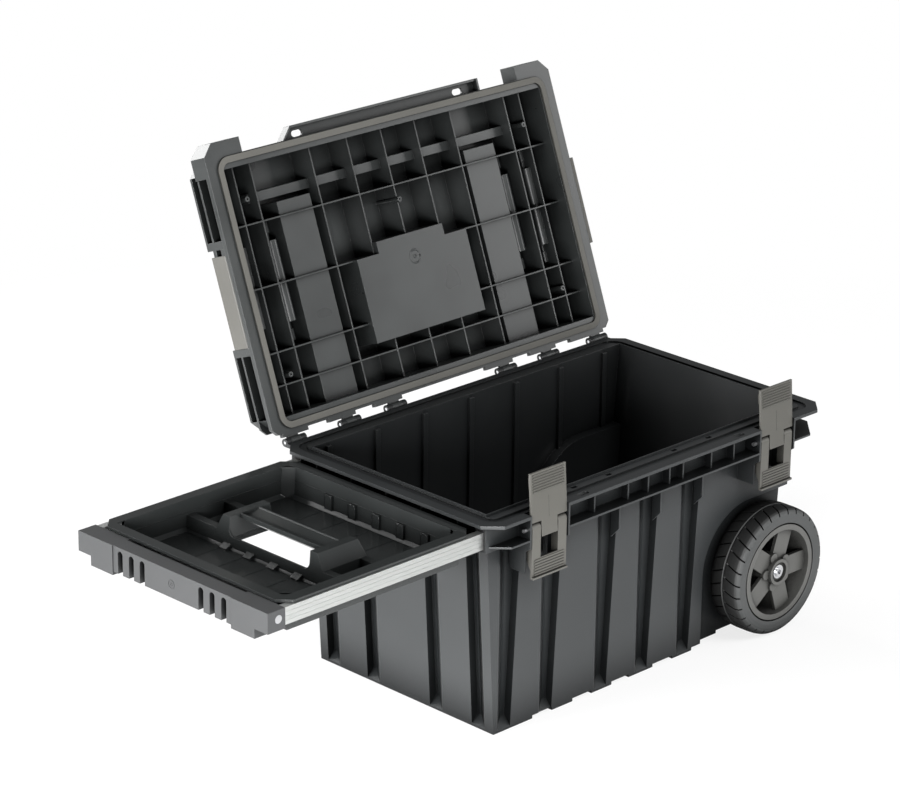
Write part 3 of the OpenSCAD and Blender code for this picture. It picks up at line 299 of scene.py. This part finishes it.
def painted_cavity_shade(tree, place, inside=0.42, ends_below=-0.2, sides_below=-0.06):
    """Painted shade: the share of the colour that stays is `inside` on walls that face the middle of the box and 1
    elsewhere, so that the inside of the tub is painted darker. A wall faces inwards where its normal times its
    place is below ends_below along x or sides_below along y."""
    at = node_in(tree, "SeparateXYZ", {}, {"Vector": place.outputs["Object"]})
    way = node_in(tree, "SeparateXYZ", {}, {"Vector": place.outputs["Normal"]})
    along = node_in(tree, "Math", {"operation": "MULTIPLY"}, {0: at.outputs["X"], 1: way.outputs["X"]})
    across = node_in(tree, "Math", {"operation": "MULTIPLY"}, {0: at.outputs["Y"], 1: way.outputs["Y"]})
    ends = node_in(tree, "Math", {"operation": "LESS_THAN"}, {0: along.outputs[0], 1: ends_below})
    sides = node_in(tree, "Math", {"operation": "LESS_THAN"}, {0: across.outputs[0], 1: sides_below})
    inner = node_in(tree, "Math", {"operation": "MAXIMUM"}, {0: ends.outputs[0], 1: sides.outputs[0]})
    shade = node_in(tree, "MapRange", {}, {"Value": inner.outputs[0], "To Min": 1.0, "To Max": inside})
    return shade.outputs["Result"]


def bloom_shade(tree, place, tread=0.3, side_wall=2.3):
    """The colour's share: `side_wall` on a tyre's flat side walls, which grow a grey bloom, else `tread`."""
    way = node_in(tree, "SeparateXYZ", {}, {"Vector": place.outputs["Normal"]})
    flat = node_in(tree, "Math", {"operation": "ABSOLUTE"}, {0: way.outputs["Y"]})
    return node_in(tree, "MapRange", {}, {"Value": flat.outputs[0], "From Min": 0.45, "From Max": 0.9,
                                          "To Min": tread, "To Max": side_wall}).outputs["Result"]


def moulded_plastic(name, colour, roughness, grain=0.9, relief=0.03, flow=0.06, ior=1.49, edge=0.8,
                    shading=None, depth=70.0, deep=0.12, cloud=70.0, gloss_change=0.05):
    """Injection moulded polypropylene: a satin skin with fine spark-eroded grain (drawn at `grain` mm,
    coarser than the real 0.2 mm so that it shows), slow flow clouds some `cloud` mm wide that change the
    colour by `flow` and the roughness by `gloss_change`, moulded edges eased by `edge` mm so that each
    catches a thin line of light, and painted shade in grooves and corners less than `depth` mm from other
    plastic, where the colour and specular level drop to `deep` of their full value."""
    material, output = new_material(name)
    tree = material.node_tree
    place = node_in(tree, "TexCoord")
    fine = node_in(tree, "TexNoise", {}, {"Vector": place.outputs["Object"], "Scale": 1 / (grain * MM),
                                          "Detail": 2.0, "Roughness": 0.6})
    clouds = node_in(tree, "TexNoise", {}, {"Vector": place.outputs["Object"], "Scale": 1 / (cloud * MM),
                                            "Detail": 2.0, "Roughness": 0.5})
    tint = node_in(tree, "MapRange", {}, {"Value": clouds.outputs["Fac"], "From Min": 0.15, "From Max": 0.85,
                                          "To Min": 1 - flow, "To Max": 1 + flow})
    gloss = node_in(tree, "MapRange", {}, {"Value": clouds.outputs["Fac"], "From Min": 0.15, "From Max": 0.85,
                                           "To Min": roughness - gloss_change,
                                           "To Max": roughness + gloss_change})
    if shading:
        tint = node_in(tree, "Math", {"operation": "MULTIPLY"},
                       {0: tint.outputs["Result"], 1: shading(tree, place)})
    # Painted shade: ambient occlusion darkens the colour and the specular level in grooves, corners and under
    # overhangs
    open_air = node_in(tree, "AmbientOcclusion", {"samples": 8}, {"Distance": depth * MM})
    painted_crease_shade = node_in(tree, "MapRange", {}, {"Value": open_air.outputs["AO"], "From Min": 0.3, "From Max": 0.95,
                                          "To Min": deep, "To Max": 1.0})
    level = node_in(tree, "Math", {"operation": "MULTIPLY"}, {0: tint.outputs[0], 1: painted_crease_shade.outputs["Result"]})
    mirror = node_in(tree, "Math", {"operation": "MULTIPLY"}, {0: 0.5, 1: painted_crease_shade.outputs["Result"]})
    shade = node_in(tree, "VectorMath", {"operation": "SCALE"},
                    {0: linear(colour)[:3], "Scale": level.outputs[0]})
    eased = node_in(tree, "Bevel", {"samples": 6}, {"Radius": edge * MM})
    bump = node_in(tree, "Bump", {}, {"Height": fine.outputs["Fac"], "Strength": 0.35,
                                      "Distance": relief * MM, "Normal": eased.outputs["Normal"]})
    skin = node_in(tree, "BsdfPrincipled", {}, {
        "Base Color": shade.outputs["Vector"], "Roughness": gloss.outputs["Result"], "IOR": ior,
        "Specular IOR Level": mirror.outputs[0], "Normal": bump.outputs["Normal"]})
    tree.links.new(skin.outputs["BSDF"], output.inputs["Surface"])
    return material


def drawn_metal(name, colour, roughness, stretch, relief=0.004, gloss_change=0.06):
    """Metal with fine lines along one way: noise whose lines are `stretch` mm long in x, y and z, which raise
    the skin by `relief` mm and change the roughness by `gloss_change`."""
    material, output = new_material(name)
    tree = material.node_tree
    place = node_in(tree, "TexCoord")
    lines = node_in(tree, "Mapping", {}, {"Vector": place.outputs["Object"],
                                          "Scale": [1 / (s * MM) for s in stretch]})
    noise = node_in(tree, "TexNoise", {}, {"Vector": lines.outputs["Vector"], "Scale": 1.0, "Detail": 3.0})
    gloss = node_in(tree, "MapRange", {}, {"Value": noise.outputs["Fac"], "From Min": 0.3, "From Max": 0.7,
                                           "To Min": roughness - gloss_change,
                                           "To Max": roughness + gloss_change})
    bump = node_in(tree, "Bump", {}, {"Height": noise.outputs["Fac"], "Strength": 0.25,
                                      "Distance": relief * MM})
    skin = node_in(tree, "BsdfPrincipled", {}, {
        "Base Color": linear(colour), "Metallic": 1.0, "Roughness": gloss.outputs["Result"],
        "Normal": bump.outputs["Normal"]})
    tree.links.new(skin.outputs["BSDF"], output.inputs["Surface"])
    return material


def rubber(name, colour, roughness, grain=1.4, relief=0.05, shading=None):
    """Rubber or soft elastomer: matt, with a slightly pebbled skin at `grain` mm, dusty patches and painted shade
    in its creases.
    """
    return moulded_plastic(name, colour, roughness, grain, relief, flow=0.12, ior=1.5, shading=shading)


MATERIALS = {}


def material_for(slot, box):
    """The finish of a slot of the record, made once."""
    if slot not in MATERIALS:
        makers = {
            # Near black satin walls with painted shade inside, and a thin bright line along each edge
            "tub_plastic": lambda: moulded_plastic("black_polypropylene_tub", box.tub_colour, 0.36,
                                                   shading=painted_cavity_shade),
            # The same plastic from another mould: smoother, with clouds that show on the flat plates, and less
            # painted shade in its creases
            "lid_plastic": lambda: moulded_plastic("black_polypropylene_lid", box.lid_colour, 0.3, flow=0.3,
                                                   depth=32.0, deep=0.25),
            # Matt grey band without a highlight
            "seal_rubber": lambda: rubber("grey_foam_rubber_seal", box.seal_colour, 0.75),
            # Warm grey, a little duller than the mouldings round it
            "clip_plastic": lambda: moulded_plastic("grey_nylon_clips", box.latch_colour, 0.45),
            "latch_plastic": lambda: moulded_plastic("grey_nylon_latches", box.latch_colour, 0.45),
            # Cool dark grey that stays even along the grip
            "grip_plastic": lambda: moulded_plastic("grey_polypropylene_grip", box.grip_colour, 0.46),
            # The glossiest moulding, with soft highlights in its rounded corners, and less painted shade in its
            # creases
            "tray_plastic": lambda: moulded_plastic("black_polypropylene_tray", box.tray_colour, 0.2,
                                                    flow=0.12, depth=45.0, deep=0.35),
            # Plain black at the mouths of the tunnels
            "guide_plastic": lambda: moulded_plastic("black_acetal_guides", box.guide_colour, 0.5),
            # Pale metal with a soft streak drawn out along the rails
            "rail_aluminium": lambda: drawn_metal("anodised_aluminium_rails", box.rail_colour, 0.42,
                                                  (60, 0.6, 0.6)),
            # Black tread with greyer side walls
            "tyre_rubber": lambda: rubber("black_tyre_rubber", box.tyre_colour, 0.62, shading=bloom_shade),
            # Warm dark grey spokes that catch the light on their ribs
            "disc_plastic": lambda: moulded_plastic("grey_polypropylene_disc", box.disc_colour, 0.44),
            "bush_plastic": lambda: moulded_plastic("black_acetal_bush", box.guide_colour, 0.4),
            # Small bright glints: the rings are sharper, the pins and nuts cloudier
            "ring_steel": lambda: drawn_metal("bright_spring_steel", box.steel_colour, 0.22, (0.8, 0.8, 0.8)),
            "pin_steel": lambda: drawn_metal("zinc_plated_steel", box.steel_colour, 0.34, (0.8, 0.8, 0.8)),
        }
        MATERIALS[slot] = makers[slot]()
    return MATERIALS[slot]


# Settings

class StorageBoxFinish(bpy.types.PropertyGroup):
    """Colours of the mouldings and metals"""
    tub_colour: bpy.props.StringProperty(name="Tub", description="sRGB hex colour of the tub",
                                         default="#27292a")
    lid_colour: bpy.props.StringProperty(name="Lid", description="sRGB hex colour of the lid",
                                         default="#2a2c2c")
    seal_colour: bpy.props.StringProperty(name="Seal", description="sRGB hex colour of the seal",
                                          default="#4c4b47")
    latch_colour: bpy.props.StringProperty(name="Latches", description="sRGB hex colour of the latches",
                                           default="#494844")
    grip_colour: bpy.props.StringProperty(name="Grip", description="sRGB hex colour of the grip",
                                          default="#323334")
    tray_colour: bpy.props.StringProperty(name="Tray", description="sRGB hex colour of the tray",
                                          default="#262828")
    guide_colour: bpy.props.StringProperty(name="Guides", description="sRGB hex colour of guides and bushes",
                                           default="#1c1c1d")
    rail_colour: bpy.props.StringProperty(name="Rails", description="sRGB hex colour of the rails",
                                          default="#cbcdcb")
    tyre_colour: bpy.props.StringProperty(name="Tyres", description="sRGB hex colour of the tyres",
                                          default="#242525")
    disc_colour: bpy.props.StringProperty(name="Wheel discs", description="sRGB hex colour of the discs",
                                          default="#4a4a48")
    steel_colour: bpy.props.StringProperty(name="Steel", description="sRGB hex colour of the steel",
                                           default="#c9cacc")


class StorageBoxMarks(bpy.types.PropertyGroup):
    """Small moulded relief"""
    corner: bpy.props.FloatProperty(name="Corner fillet", description="Fillet between the tray's walls",
                                    default=0.012, unit="LENGTH")
    foot: bpy.props.FloatProperty(name="Floor fillet",
                                  description="Fillet where the tray's walls meet its floor",
                                  default=0.0045, unit="LENGTH")
    ridges: bpy.props.IntProperty(name="Ridges", description="Ridges on a hook plate",
                                  default=7, min=1, max=9)


class StorageBoxTyre(bpy.types.PropertyGroup):
    """Tread of the tyres"""
    blocks: bpy.props.IntProperty(name="Blocks", description="Tread blocks round a tyre",
                                  default=30, min=8, max=60)
    depth: bpy.props.FloatProperty(name="Groove depth", description="Depth of the tread", default=0.0024,
                                   unit="LENGTH")
    slant: bpy.props.FloatProperty(name="Slant",
                                   description="How far a cut leans over half the tread, in blocks",
                                   default=0.55)


class StorageBoxStudio(bpy.types.PropertyGroup):
    """Floor, backdrop and lamps"""
    floor_colour: bpy.props.StringProperty(name="Floor", description="sRGB hex colour of the floor",
                                           default="#f2f2f2")
    sheet_left: bpy.props.FloatProperty(name="Sheet left",
                                        description="How far the floor sheet runs to the left",
                                        default=1.15, unit="LENGTH")
    sheet_front: bpy.props.FloatProperty(name="Sheet front",
                                         description="How far the floor sheet runs to the front",
                                         default=0.75, unit="LENGTH")
    ambient: bpy.props.FloatProperty(name="Ambient", description="Strength of the light from all round",
                                     default=0.18)
    left_power: bpy.props.FloatProperty(name="Left light", description="Power of the light on the left",
                                        default=145.0, unit="POWER")
    near_power: bpy.props.FloatProperty(name="Near light",
                                        description="Power of the low light by the near corner",
                                        default=112.0, unit="POWER")
    high_power: bpy.props.FloatProperty(name="High light", description="Power of the light above the latches",
                                        default=62.0, unit="POWER")
    right_power: bpy.props.FloatProperty(name="Right light", description="Power of the light on the right",
                                         default=44.0, unit="POWER")
    back_power: bpy.props.FloatProperty(name="Back light", description="Power of the light behind the box",
                                        default=190.0, unit="POWER")


# Operators

class STORAGEBOX_OT_marks(bpy.types.Operator):
    """Small moulded relief: tray fillets and divider lines, hook ridges, gate marks"""
    bl_idname = "storagebox.marks"
    bl_label = "Moulded details"

    def execute(self, context):
        box, marks = context.scene.storage_box_finish, context.scene.storage_box_marks
        self.tray(box, marks)
        self.hooks(box, marks)
        self.gate_marks(box)
        return {"FINISHED"}

    def join(self, name, parts, body, slot, box):
        """One piece from several closed sweeps, each an array of rows by columns of points in mm."""
        points, faces, start = [], [], 0
        for part in parts:
            rows, columns = part.shape[:2]
            points.append(part.reshape(-1, 3))
            faces += [[start + k for k in face] for face in swept_faces(rows, columns)]
            start += rows * columns
        mesh = bpy.data.meshes.new(name)
        mesh.from_pydata((np.vstack(points) * MM).tolist(), [], faces)
        piece = bpy.data.objects.new(name, mesh)
        bpy.context.scene.collection.objects.link(piece)
        add_to(shade_by_angle(outward(piece), 40), body, material_for(slot, box))

    def tray(self, box, marks):
        """Fillets where the basin's walls meet each other and the floor, frames and lines for loose dividers,
        and a fine step round the walls."""
        low, high = (np.array(c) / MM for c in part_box("tray"))
        x0, x1, y = low[0] + BASIN_ENDS, high[0] - BASIN_ENDS, high[1] - BASIN_SIDES
        floor, top = low[2] + BASIN_FLOOR, high[2] - RIM_DROP
        lean, step_z = BASIN_LEAN / (high[2] - floor), top - STEP_DROP
        small, fine = ring_outline(LINE_WIDTH, STEP_PROUD), ring_outline(LINE_WIDTH, LINE_PROUD)
        corner, foot = fillet_outline(marks.corner / MM), fillet_outline(marks.foot / MM)
        parts = []
        for sx, x in ((1, x0), (-1, x1)):
            for sy in (-1, 1):
                path = [(x, sy * y, floor - 1), (x - sx * lean * (top - floor), sy * y, top)]
                parts.append(swept(path, (sx, 0, 0), (0, -sy, 0), corner))
            parts.append(swept([(x, -y, floor), (x, y, floor)], (sx, 0, 0), (0, 0, 1), foot))
            step = x - sx * lean * (step_z - floor)
            parts.append(swept([(step, -y, step_z), (step, y, step_z)], (0, 0, 1), (sx, 0, 0), small))
        for sy in (-1, 1):
            parts.append(swept([(x0, sy * y, floor), (x1, sy * y, floor)], (0, -sy, 0), (0, 0, 1), foot))
            parts.append(swept([(x0, sy * y, step_z), (x1, sy * y, step_z)], (0, 0, 1), (0, -sy, 0), small))
        spine = (low[0] + high[0]) / 2 + SPINE_SHIFT
        near, far = spine - SPINE_NEAR, spine + SPINE_FAR
        for sx, x in ((-1, near), (1, far)):
            parts.append(swept([(x, -y, floor), (x, y, floor)], (sx, 0, 0), (0, 0, 1),
                               fillet_outline(SPINE_FILLET * marks.foot / MM)))
        turn, r, end = np.linspace(math.pi, 0, 9), DIVIDER_RADIUS, x1 - DIVIDER_PROUD
        for share in DIVIDER_SHARES:
            y0 = share * (y + TRAY_WALL)
            arc = np.stack([y0 + r + r * np.cos(turn), floor + DIVIDER_HEIGHT + r * np.sin(turn)], -1)
            frame_line = np.vstack([[y0, floor - 1], arc, [y0 + 2 * r, floor - 1]])
            across = np.gradient(frame_line, axis=0)
            across = np.stack([np.zeros(len(across)), -across[:, 1], across[:, 0]], -1)
            across /= np.linalg.norm(across, axis=1, keepdims=True)
            parts.append(swept(np.insert(frame_line, 0, end, axis=1), across, (-1, 0, 0), small))
            for ends in ((end, far), (near, x0)):
                parts.append(swept([(x, y0 + 2 * r, floor) for x in ends], (0, 1, 0), (0, 0, 1), fine))
        self.join("tray_relief", parts, "carry_tray", "tray_plastic", box)

    def hooks(self, box, marks):
        """Fine half round ridges across the upper end of each hook plate, and a line below them."""
        up = np.array([0, math.sin(HOOK_LEAN), math.cos(HOOK_LEAN)])
        out = np.array([0, -math.cos(HOOK_LEAN), math.sin(HOOK_LEAN)])
        half = np.array([RIDGE_HALF, 0, 0])
        for side in ("left", "right"):
            face = np.array(JOINTS["latch_" + side + "_hook"]["pos_m"]) / MM + out * HOOK_FACE
            parts = []
            for row in range(marks.ridges):
                middle = face + up * (RIDGE_TOP - row * RIDGE_STEP)
                parts.append(swept([middle - half, middle + half], up, out,
                                   ring_outline(RIDGE_WIDTH, RIDGE_PROUD)))
            parts.append(swept([face + up * SEAM_FROM, face + up * SEAM_TO], (1, 0, 0), out,
                               ring_outline(SEAM_WIDTH, SEAM_PROUD)))
            self.join("hook_ridges_" + side, parts, "hook_" + side, "latch_plastic", box)

    def gate_marks(self, box):
        """Low rings where the plastic was let into the moulds: x = r cos t, y = r sin t, raised by a bead."""
        t = np.linspace(0, TAU, RING_POINTS)
        ring = np.stack([np.zeros(len(t)), np.cos(t), np.sin(t)], -1)
        low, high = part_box("handle_grip")
        grip = np.array([low.x / MM + GRIP_GATE_IN, 0.0, (low.z + high.z) / 2 / MM + GRIP_GATE_UP])
        parts = [swept(grip + radius * ring, ring, (-1, 0, 0), ring_outline(wide, proud))
                 for radius, wide, proud in GRIP_GATE_RINGS]
        self.join("grip_gate_mark", parts, "pull_handle", "grip_plastic", box)
        middle = lid_place(np.array(LID_GATE) * MM) / MM
        out = lid_place((np.array(LID_GATE) - (0, 0, 1)) * MM) / MM - middle
        ring = lid_place((LID_GATE + np.roll(ring, -1, axis=1)) * MM) / MM - middle
        parts = [swept(middle + radius * ring, ring, out, ring_outline(wide, proud))
                 for radius, wide, proud in LID_GATE_RINGS]
        self.join("lid_gate_mark", parts, "lid", "lid_plastic", box)


class STORAGEBOX_OT_finishes(bpy.types.Operator):
    """Every CAD piece that keeps its own shape gets the finish of its slot"""
    bl_idname = "storagebox.finishes"
    bl_label = "Finishes"

    def execute(self, context):
        box = context.scene.storage_box_finish
        for node, piece in NODES.items():
            if not piece.hide_render:
                dress(piece, material_for(NODE_SLOT[node], box))
        return {"FINISHED"}


class STORAGEBOX_OT_tyres(bpy.types.Operator):
    """Tyres with slanted tread blocks that wrap over the shoulders"""
    bl_idname = "storagebox.tyres"
    bl_label = "Tyres"

    def execute(self, context):
        box, tread = context.scene.storage_box_finish, context.scene.storage_box_tyre
        for node, side in (("tyre_front", -1), ("tyre_rear", 1)):
            low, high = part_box(node)
            points = self.tyre(tread, (high.z - low.z) / 2, high.y - low.y)
            rows, columns = points.shape[:2]
            faces = grid_faces(rows, columns, True, True)
            piece = place_mesh(node + "_tread", wheel_place(points, side), faces)
            stand_for(outward(piece), node, material_for("tyre_rubber", box))
            shade_by_angle(piece, 35)
        return {"FINISHED"}

    def tyre(self, tread, radius, width):
        """Cross section (r, h) turned about z: x = r cos t, y = r sin t. Each cut is a column of the grid
        whose radius drops by depth * share(r, h), and whose angle leans by slant * distance from the tread's
        middle. The shares run from 0 on the side walls and in the middle to 1 on the blocks and shoulders."""
        w, r, low = width, radius, radius - MIDDLE_GROOVE
        section = np.array([
            [0.727 * r, 0.1 * w], [0.76 * r, 0.03 * w], [0.82 * r, 0.004 * w], [0.89 * r, 0.004 * w],
            [0.935 * r, 0.02 * w], [0.967 * r, 0.06 * w], [0.988 * r, 0.12 * w], [0.996 * r, 0.2 * w],
            [r, 0.32 * w], [r, 0.47 * w], [low, 0.48 * w], [low, 0.52 * w], [r, 0.53 * w],
            [r, 0.68 * w], [0.996 * r, 0.8 * w], [0.988 * r, 0.88 * w], [0.967 * r, 0.94 * w],
            [0.935 * r, 0.98 * w], [0.915 * r, 0.992 * w], [0.91 * r, 0.985 * w], [0.89 * r, 0.996 * w],
            [0.82 * r, 0.996 * w], [0.775 * r, 0.98 * w], [0.762 * r, 0.93 * w], [0.757 * r, 0.875 * w],
            [0.72 * r, 0.87 * w], [0.72 * r, 0.5 * w]])
        section = resample(section, SECTION_POINTS)
        across = np.abs(section[:, 1] / w - 0.5) * 2
        rise = np.clip((section[:, 0] / r - CUT_LOW) / CUT_RISE, 0, 1)
        share = rise * np.clip((across - RIB_HALF) / RIB_RISE, 0, 1)
        turn = (np.arange(tread.blocks)[:, None] + np.array(BLOCK_COLUMNS)).ravel() * TAU / tread.blocks
        cut = np.tile(BLOCK_CUTS, tread.blocks)
        side = np.where(section[:, 1] > w / 2, 1, -1)
        lean = (tread.slant * across + SIDE_SHIFT * side) * TAU / tread.blocks
        angle = turn[None, :] + lean[:, None]
        out = section[:, :1] - tread.depth * share[:, None] * cut
        pinch = share * tread.depth * SHOULDER_SHARE * (across > SHOULDER_FROM)
        height = section[:, 1:] - side[:, None] * pinch[:, None] * cut
        return np.stack([out * np.cos(angle), out * np.sin(angle), height], -1)


class STORAGEBOX_OT_stage(bpy.types.Operator):
    """Pale floor, white surroundings, soft lamps and the camera"""
    bl_idname = "storagebox.stage"
    bl_label = "Studio"

    def execute(self, context):
        studio = context.scene.storage_box_studio
        self.floor(studio)
        self.surroundings(context.scene, studio)
        for name, (place, size) in LAMPS.items():
            self.lamp(name + " light", place, size, getattr(studio, name + "_power"))
        self.camera(context.scene)
        context.scene.view_settings.view_transform = "Standard"
        return {"FINISHED"}

    def floor(self, studio):
        """A sheet of floor that ends a little before the box, so that the walls mirror white only low down.
        To the camera it is softly shadowed by the box and fades to plain white away from it."""
        left, near, far = -studio.sheet_left, -studio.sheet_front, FLOOR_FAR
        corners = [(left, near, 0), (far, near, 0), (far, far, 0), (left, far, 0)]
        floor = place_mesh("studio_floor", corners, [[0, 1, 2, 3]])
        material, output = new_material("matt_white_floor")
        tree = material.node_tree
        colour = linear(studio.floor_colour)
        paint = node_in(tree, "BsdfPrincipled", {}, {"Base Color": colour, "Roughness": 0.9})
        glow = node_in(tree, "Emission", {}, {"Color": (1, 1, 1, 1), "Strength": 1.0})
        ray = node_in(tree, "LightPath")
        place = node_in(tree, "TexCoord")
        away = node_in(tree, "VectorMath", {"operation": "LENGTH"}, {0: place.outputs["Object"]})
        fade = node_in(tree, "MapRange", {}, {"Value": away.outputs["Value"], "From Min": FLOOR_FADE[0],
                                              "From Max": FLOOR_FADE[1], "To Min": FLOOR_GLOW, "To Max": 1.0})
        seen = node_in(tree, "Math", {"operation": "MULTIPLY"},
                       {0: ray.outputs["Is Camera Ray"], 1: fade.outputs["Result"]})
        mix = node_in(tree, "MixShader", {}, {0: seen.outputs[0], 1: paint.outputs["BSDF"],
                                              2: glow.outputs["Emission"]})
        tree.links.new(mix.outputs["Shader"], output.inputs["Surface"])
        dress(floor, material)

    def surroundings(self, scene, studio):
        """White to the camera, softer as light."""
        world = bpy.data.worlds.new("studio_air")
        world.use_nodes = True
        tree = world.node_tree
        tree.nodes.clear()
        ray = node_in(tree, "LightPath")
        seen = node_in(tree, "Background", {}, {"Color": (1, 1, 1, 1), "Strength": 1.0})
        light = node_in(tree, "Background", {}, {"Color": (1, 1, 1, 1), "Strength": studio.ambient})
        mix = node_in(tree, "MixShader", {}, {0: ray.outputs["Is Camera Ray"], 1: light.outputs["Background"],
                                              2: seen.outputs["Background"]})
        output = node_in(tree, "OutputWorld")
        tree.links.new(mix.outputs["Shader"], output.inputs["Surface"])
        scene.world = world

    def lamp(self, name, place, size, power):
        """A square soft light that faces the middle of the box."""
        data = bpy.data.lights.new(name, "AREA")
        data.shape = "SQUARE"
        data.size = size
        data.energy = power
        lamp = bpy.data.objects.new(name, data)
        lamp.location = place
        lamp.visible_camera = False
        lamp.rotation_euler = (LAMP_AIM - Vector(place)).to_track_quat("-Z", "Y").to_euler()
        bpy.context.scene.collection.objects.link(lamp)

    def camera(self, scene):
        """The photograph's view: back by azimuth and elevation, rolled a little about the line of sight."""
        a, e = math.radians(CAMERA_AZIMUTH), math.radians(CAMERA_ELEVATION)
        back = Vector((math.sin(a) * math.cos(e), -math.cos(a) * math.cos(e), math.sin(e)))
        data = bpy.data.cameras.new("photo_camera")
        data.sensor_width = 36.0
        data.lens = CAMERA_LENS
        data.shift_x, data.shift_y = CAMERA_SHIFT
        data.clip_start, data.clip_end = 0.1, 100.0
        camera = bpy.data.objects.new("photo_camera", data)
        roll = Matrix.Rotation(math.radians(CAMERA_ROLL), 3, "Z")
        turn = (-back).to_track_quat("-Z", "Y").to_matrix() @ roll
        camera.matrix_world = Matrix.Translation(CAMERA_AIM + back * CAMERA_DISTANCE) @ turn.to_4x4()
        scene.collection.objects.link(camera)
        scene.camera = camera


class STORAGEBOX_PT_panel(bpy.types.Panel):
    """Sizes, colours and steps of the storage box"""
    bl_label = "Storage Box"
    bl_idname = "STORAGEBOX_PT_panel"
    bl_space_type = "VIEW_3D"
    bl_region_type = "UI"
    bl_category = "Storage Box"

    def draw(self, context):
        for group in GROUPS:
            settings = getattr(context.scene, group)
            column = self.layout.column(align=True)
            for name in settings.bl_rna.properties.keys():
                if name not in ("rna_type", "name"):
                    column.prop(settings, name)
        for operator in OPERATORS:
            self.layout.operator(operator.bl_idname)


OPERATORS = (STORAGEBOX_OT_marks, STORAGEBOX_OT_tyres, STORAGEBOX_OT_finishes, STORAGEBOX_OT_stage)
GROUPS = {
    "storage_box_finish": StorageBoxFinish,
    "storage_box_marks": StorageBoxMarks,
    "storage_box_tyre": StorageBoxTyre,
    "storage_box_studio": StorageBoxStudio,
}
CLASSES = (*GROUPS.values(), *OPERATORS, STORAGEBOX_PT_panel)


def register():
    for item in CLASSES:
        bpy.utils.register_class(item)
    for name, group in GROUPS.items():
        setattr(bpy.types.Scene, name, bpy.props.PointerProperty(type=group))


def unregister():
    for name in GROUPS:
        delattr(bpy.types.Scene, name)
    for item in reversed(CLASSES):
        bpy.utils.unregister_class(item)


def main():
    register()
    for operator in OPERATORS:
        group, name = operator.bl_idname.split(".")
        getattr(getattr(bpy.ops, group), name)()


if __name__ == "__main__":
    main()
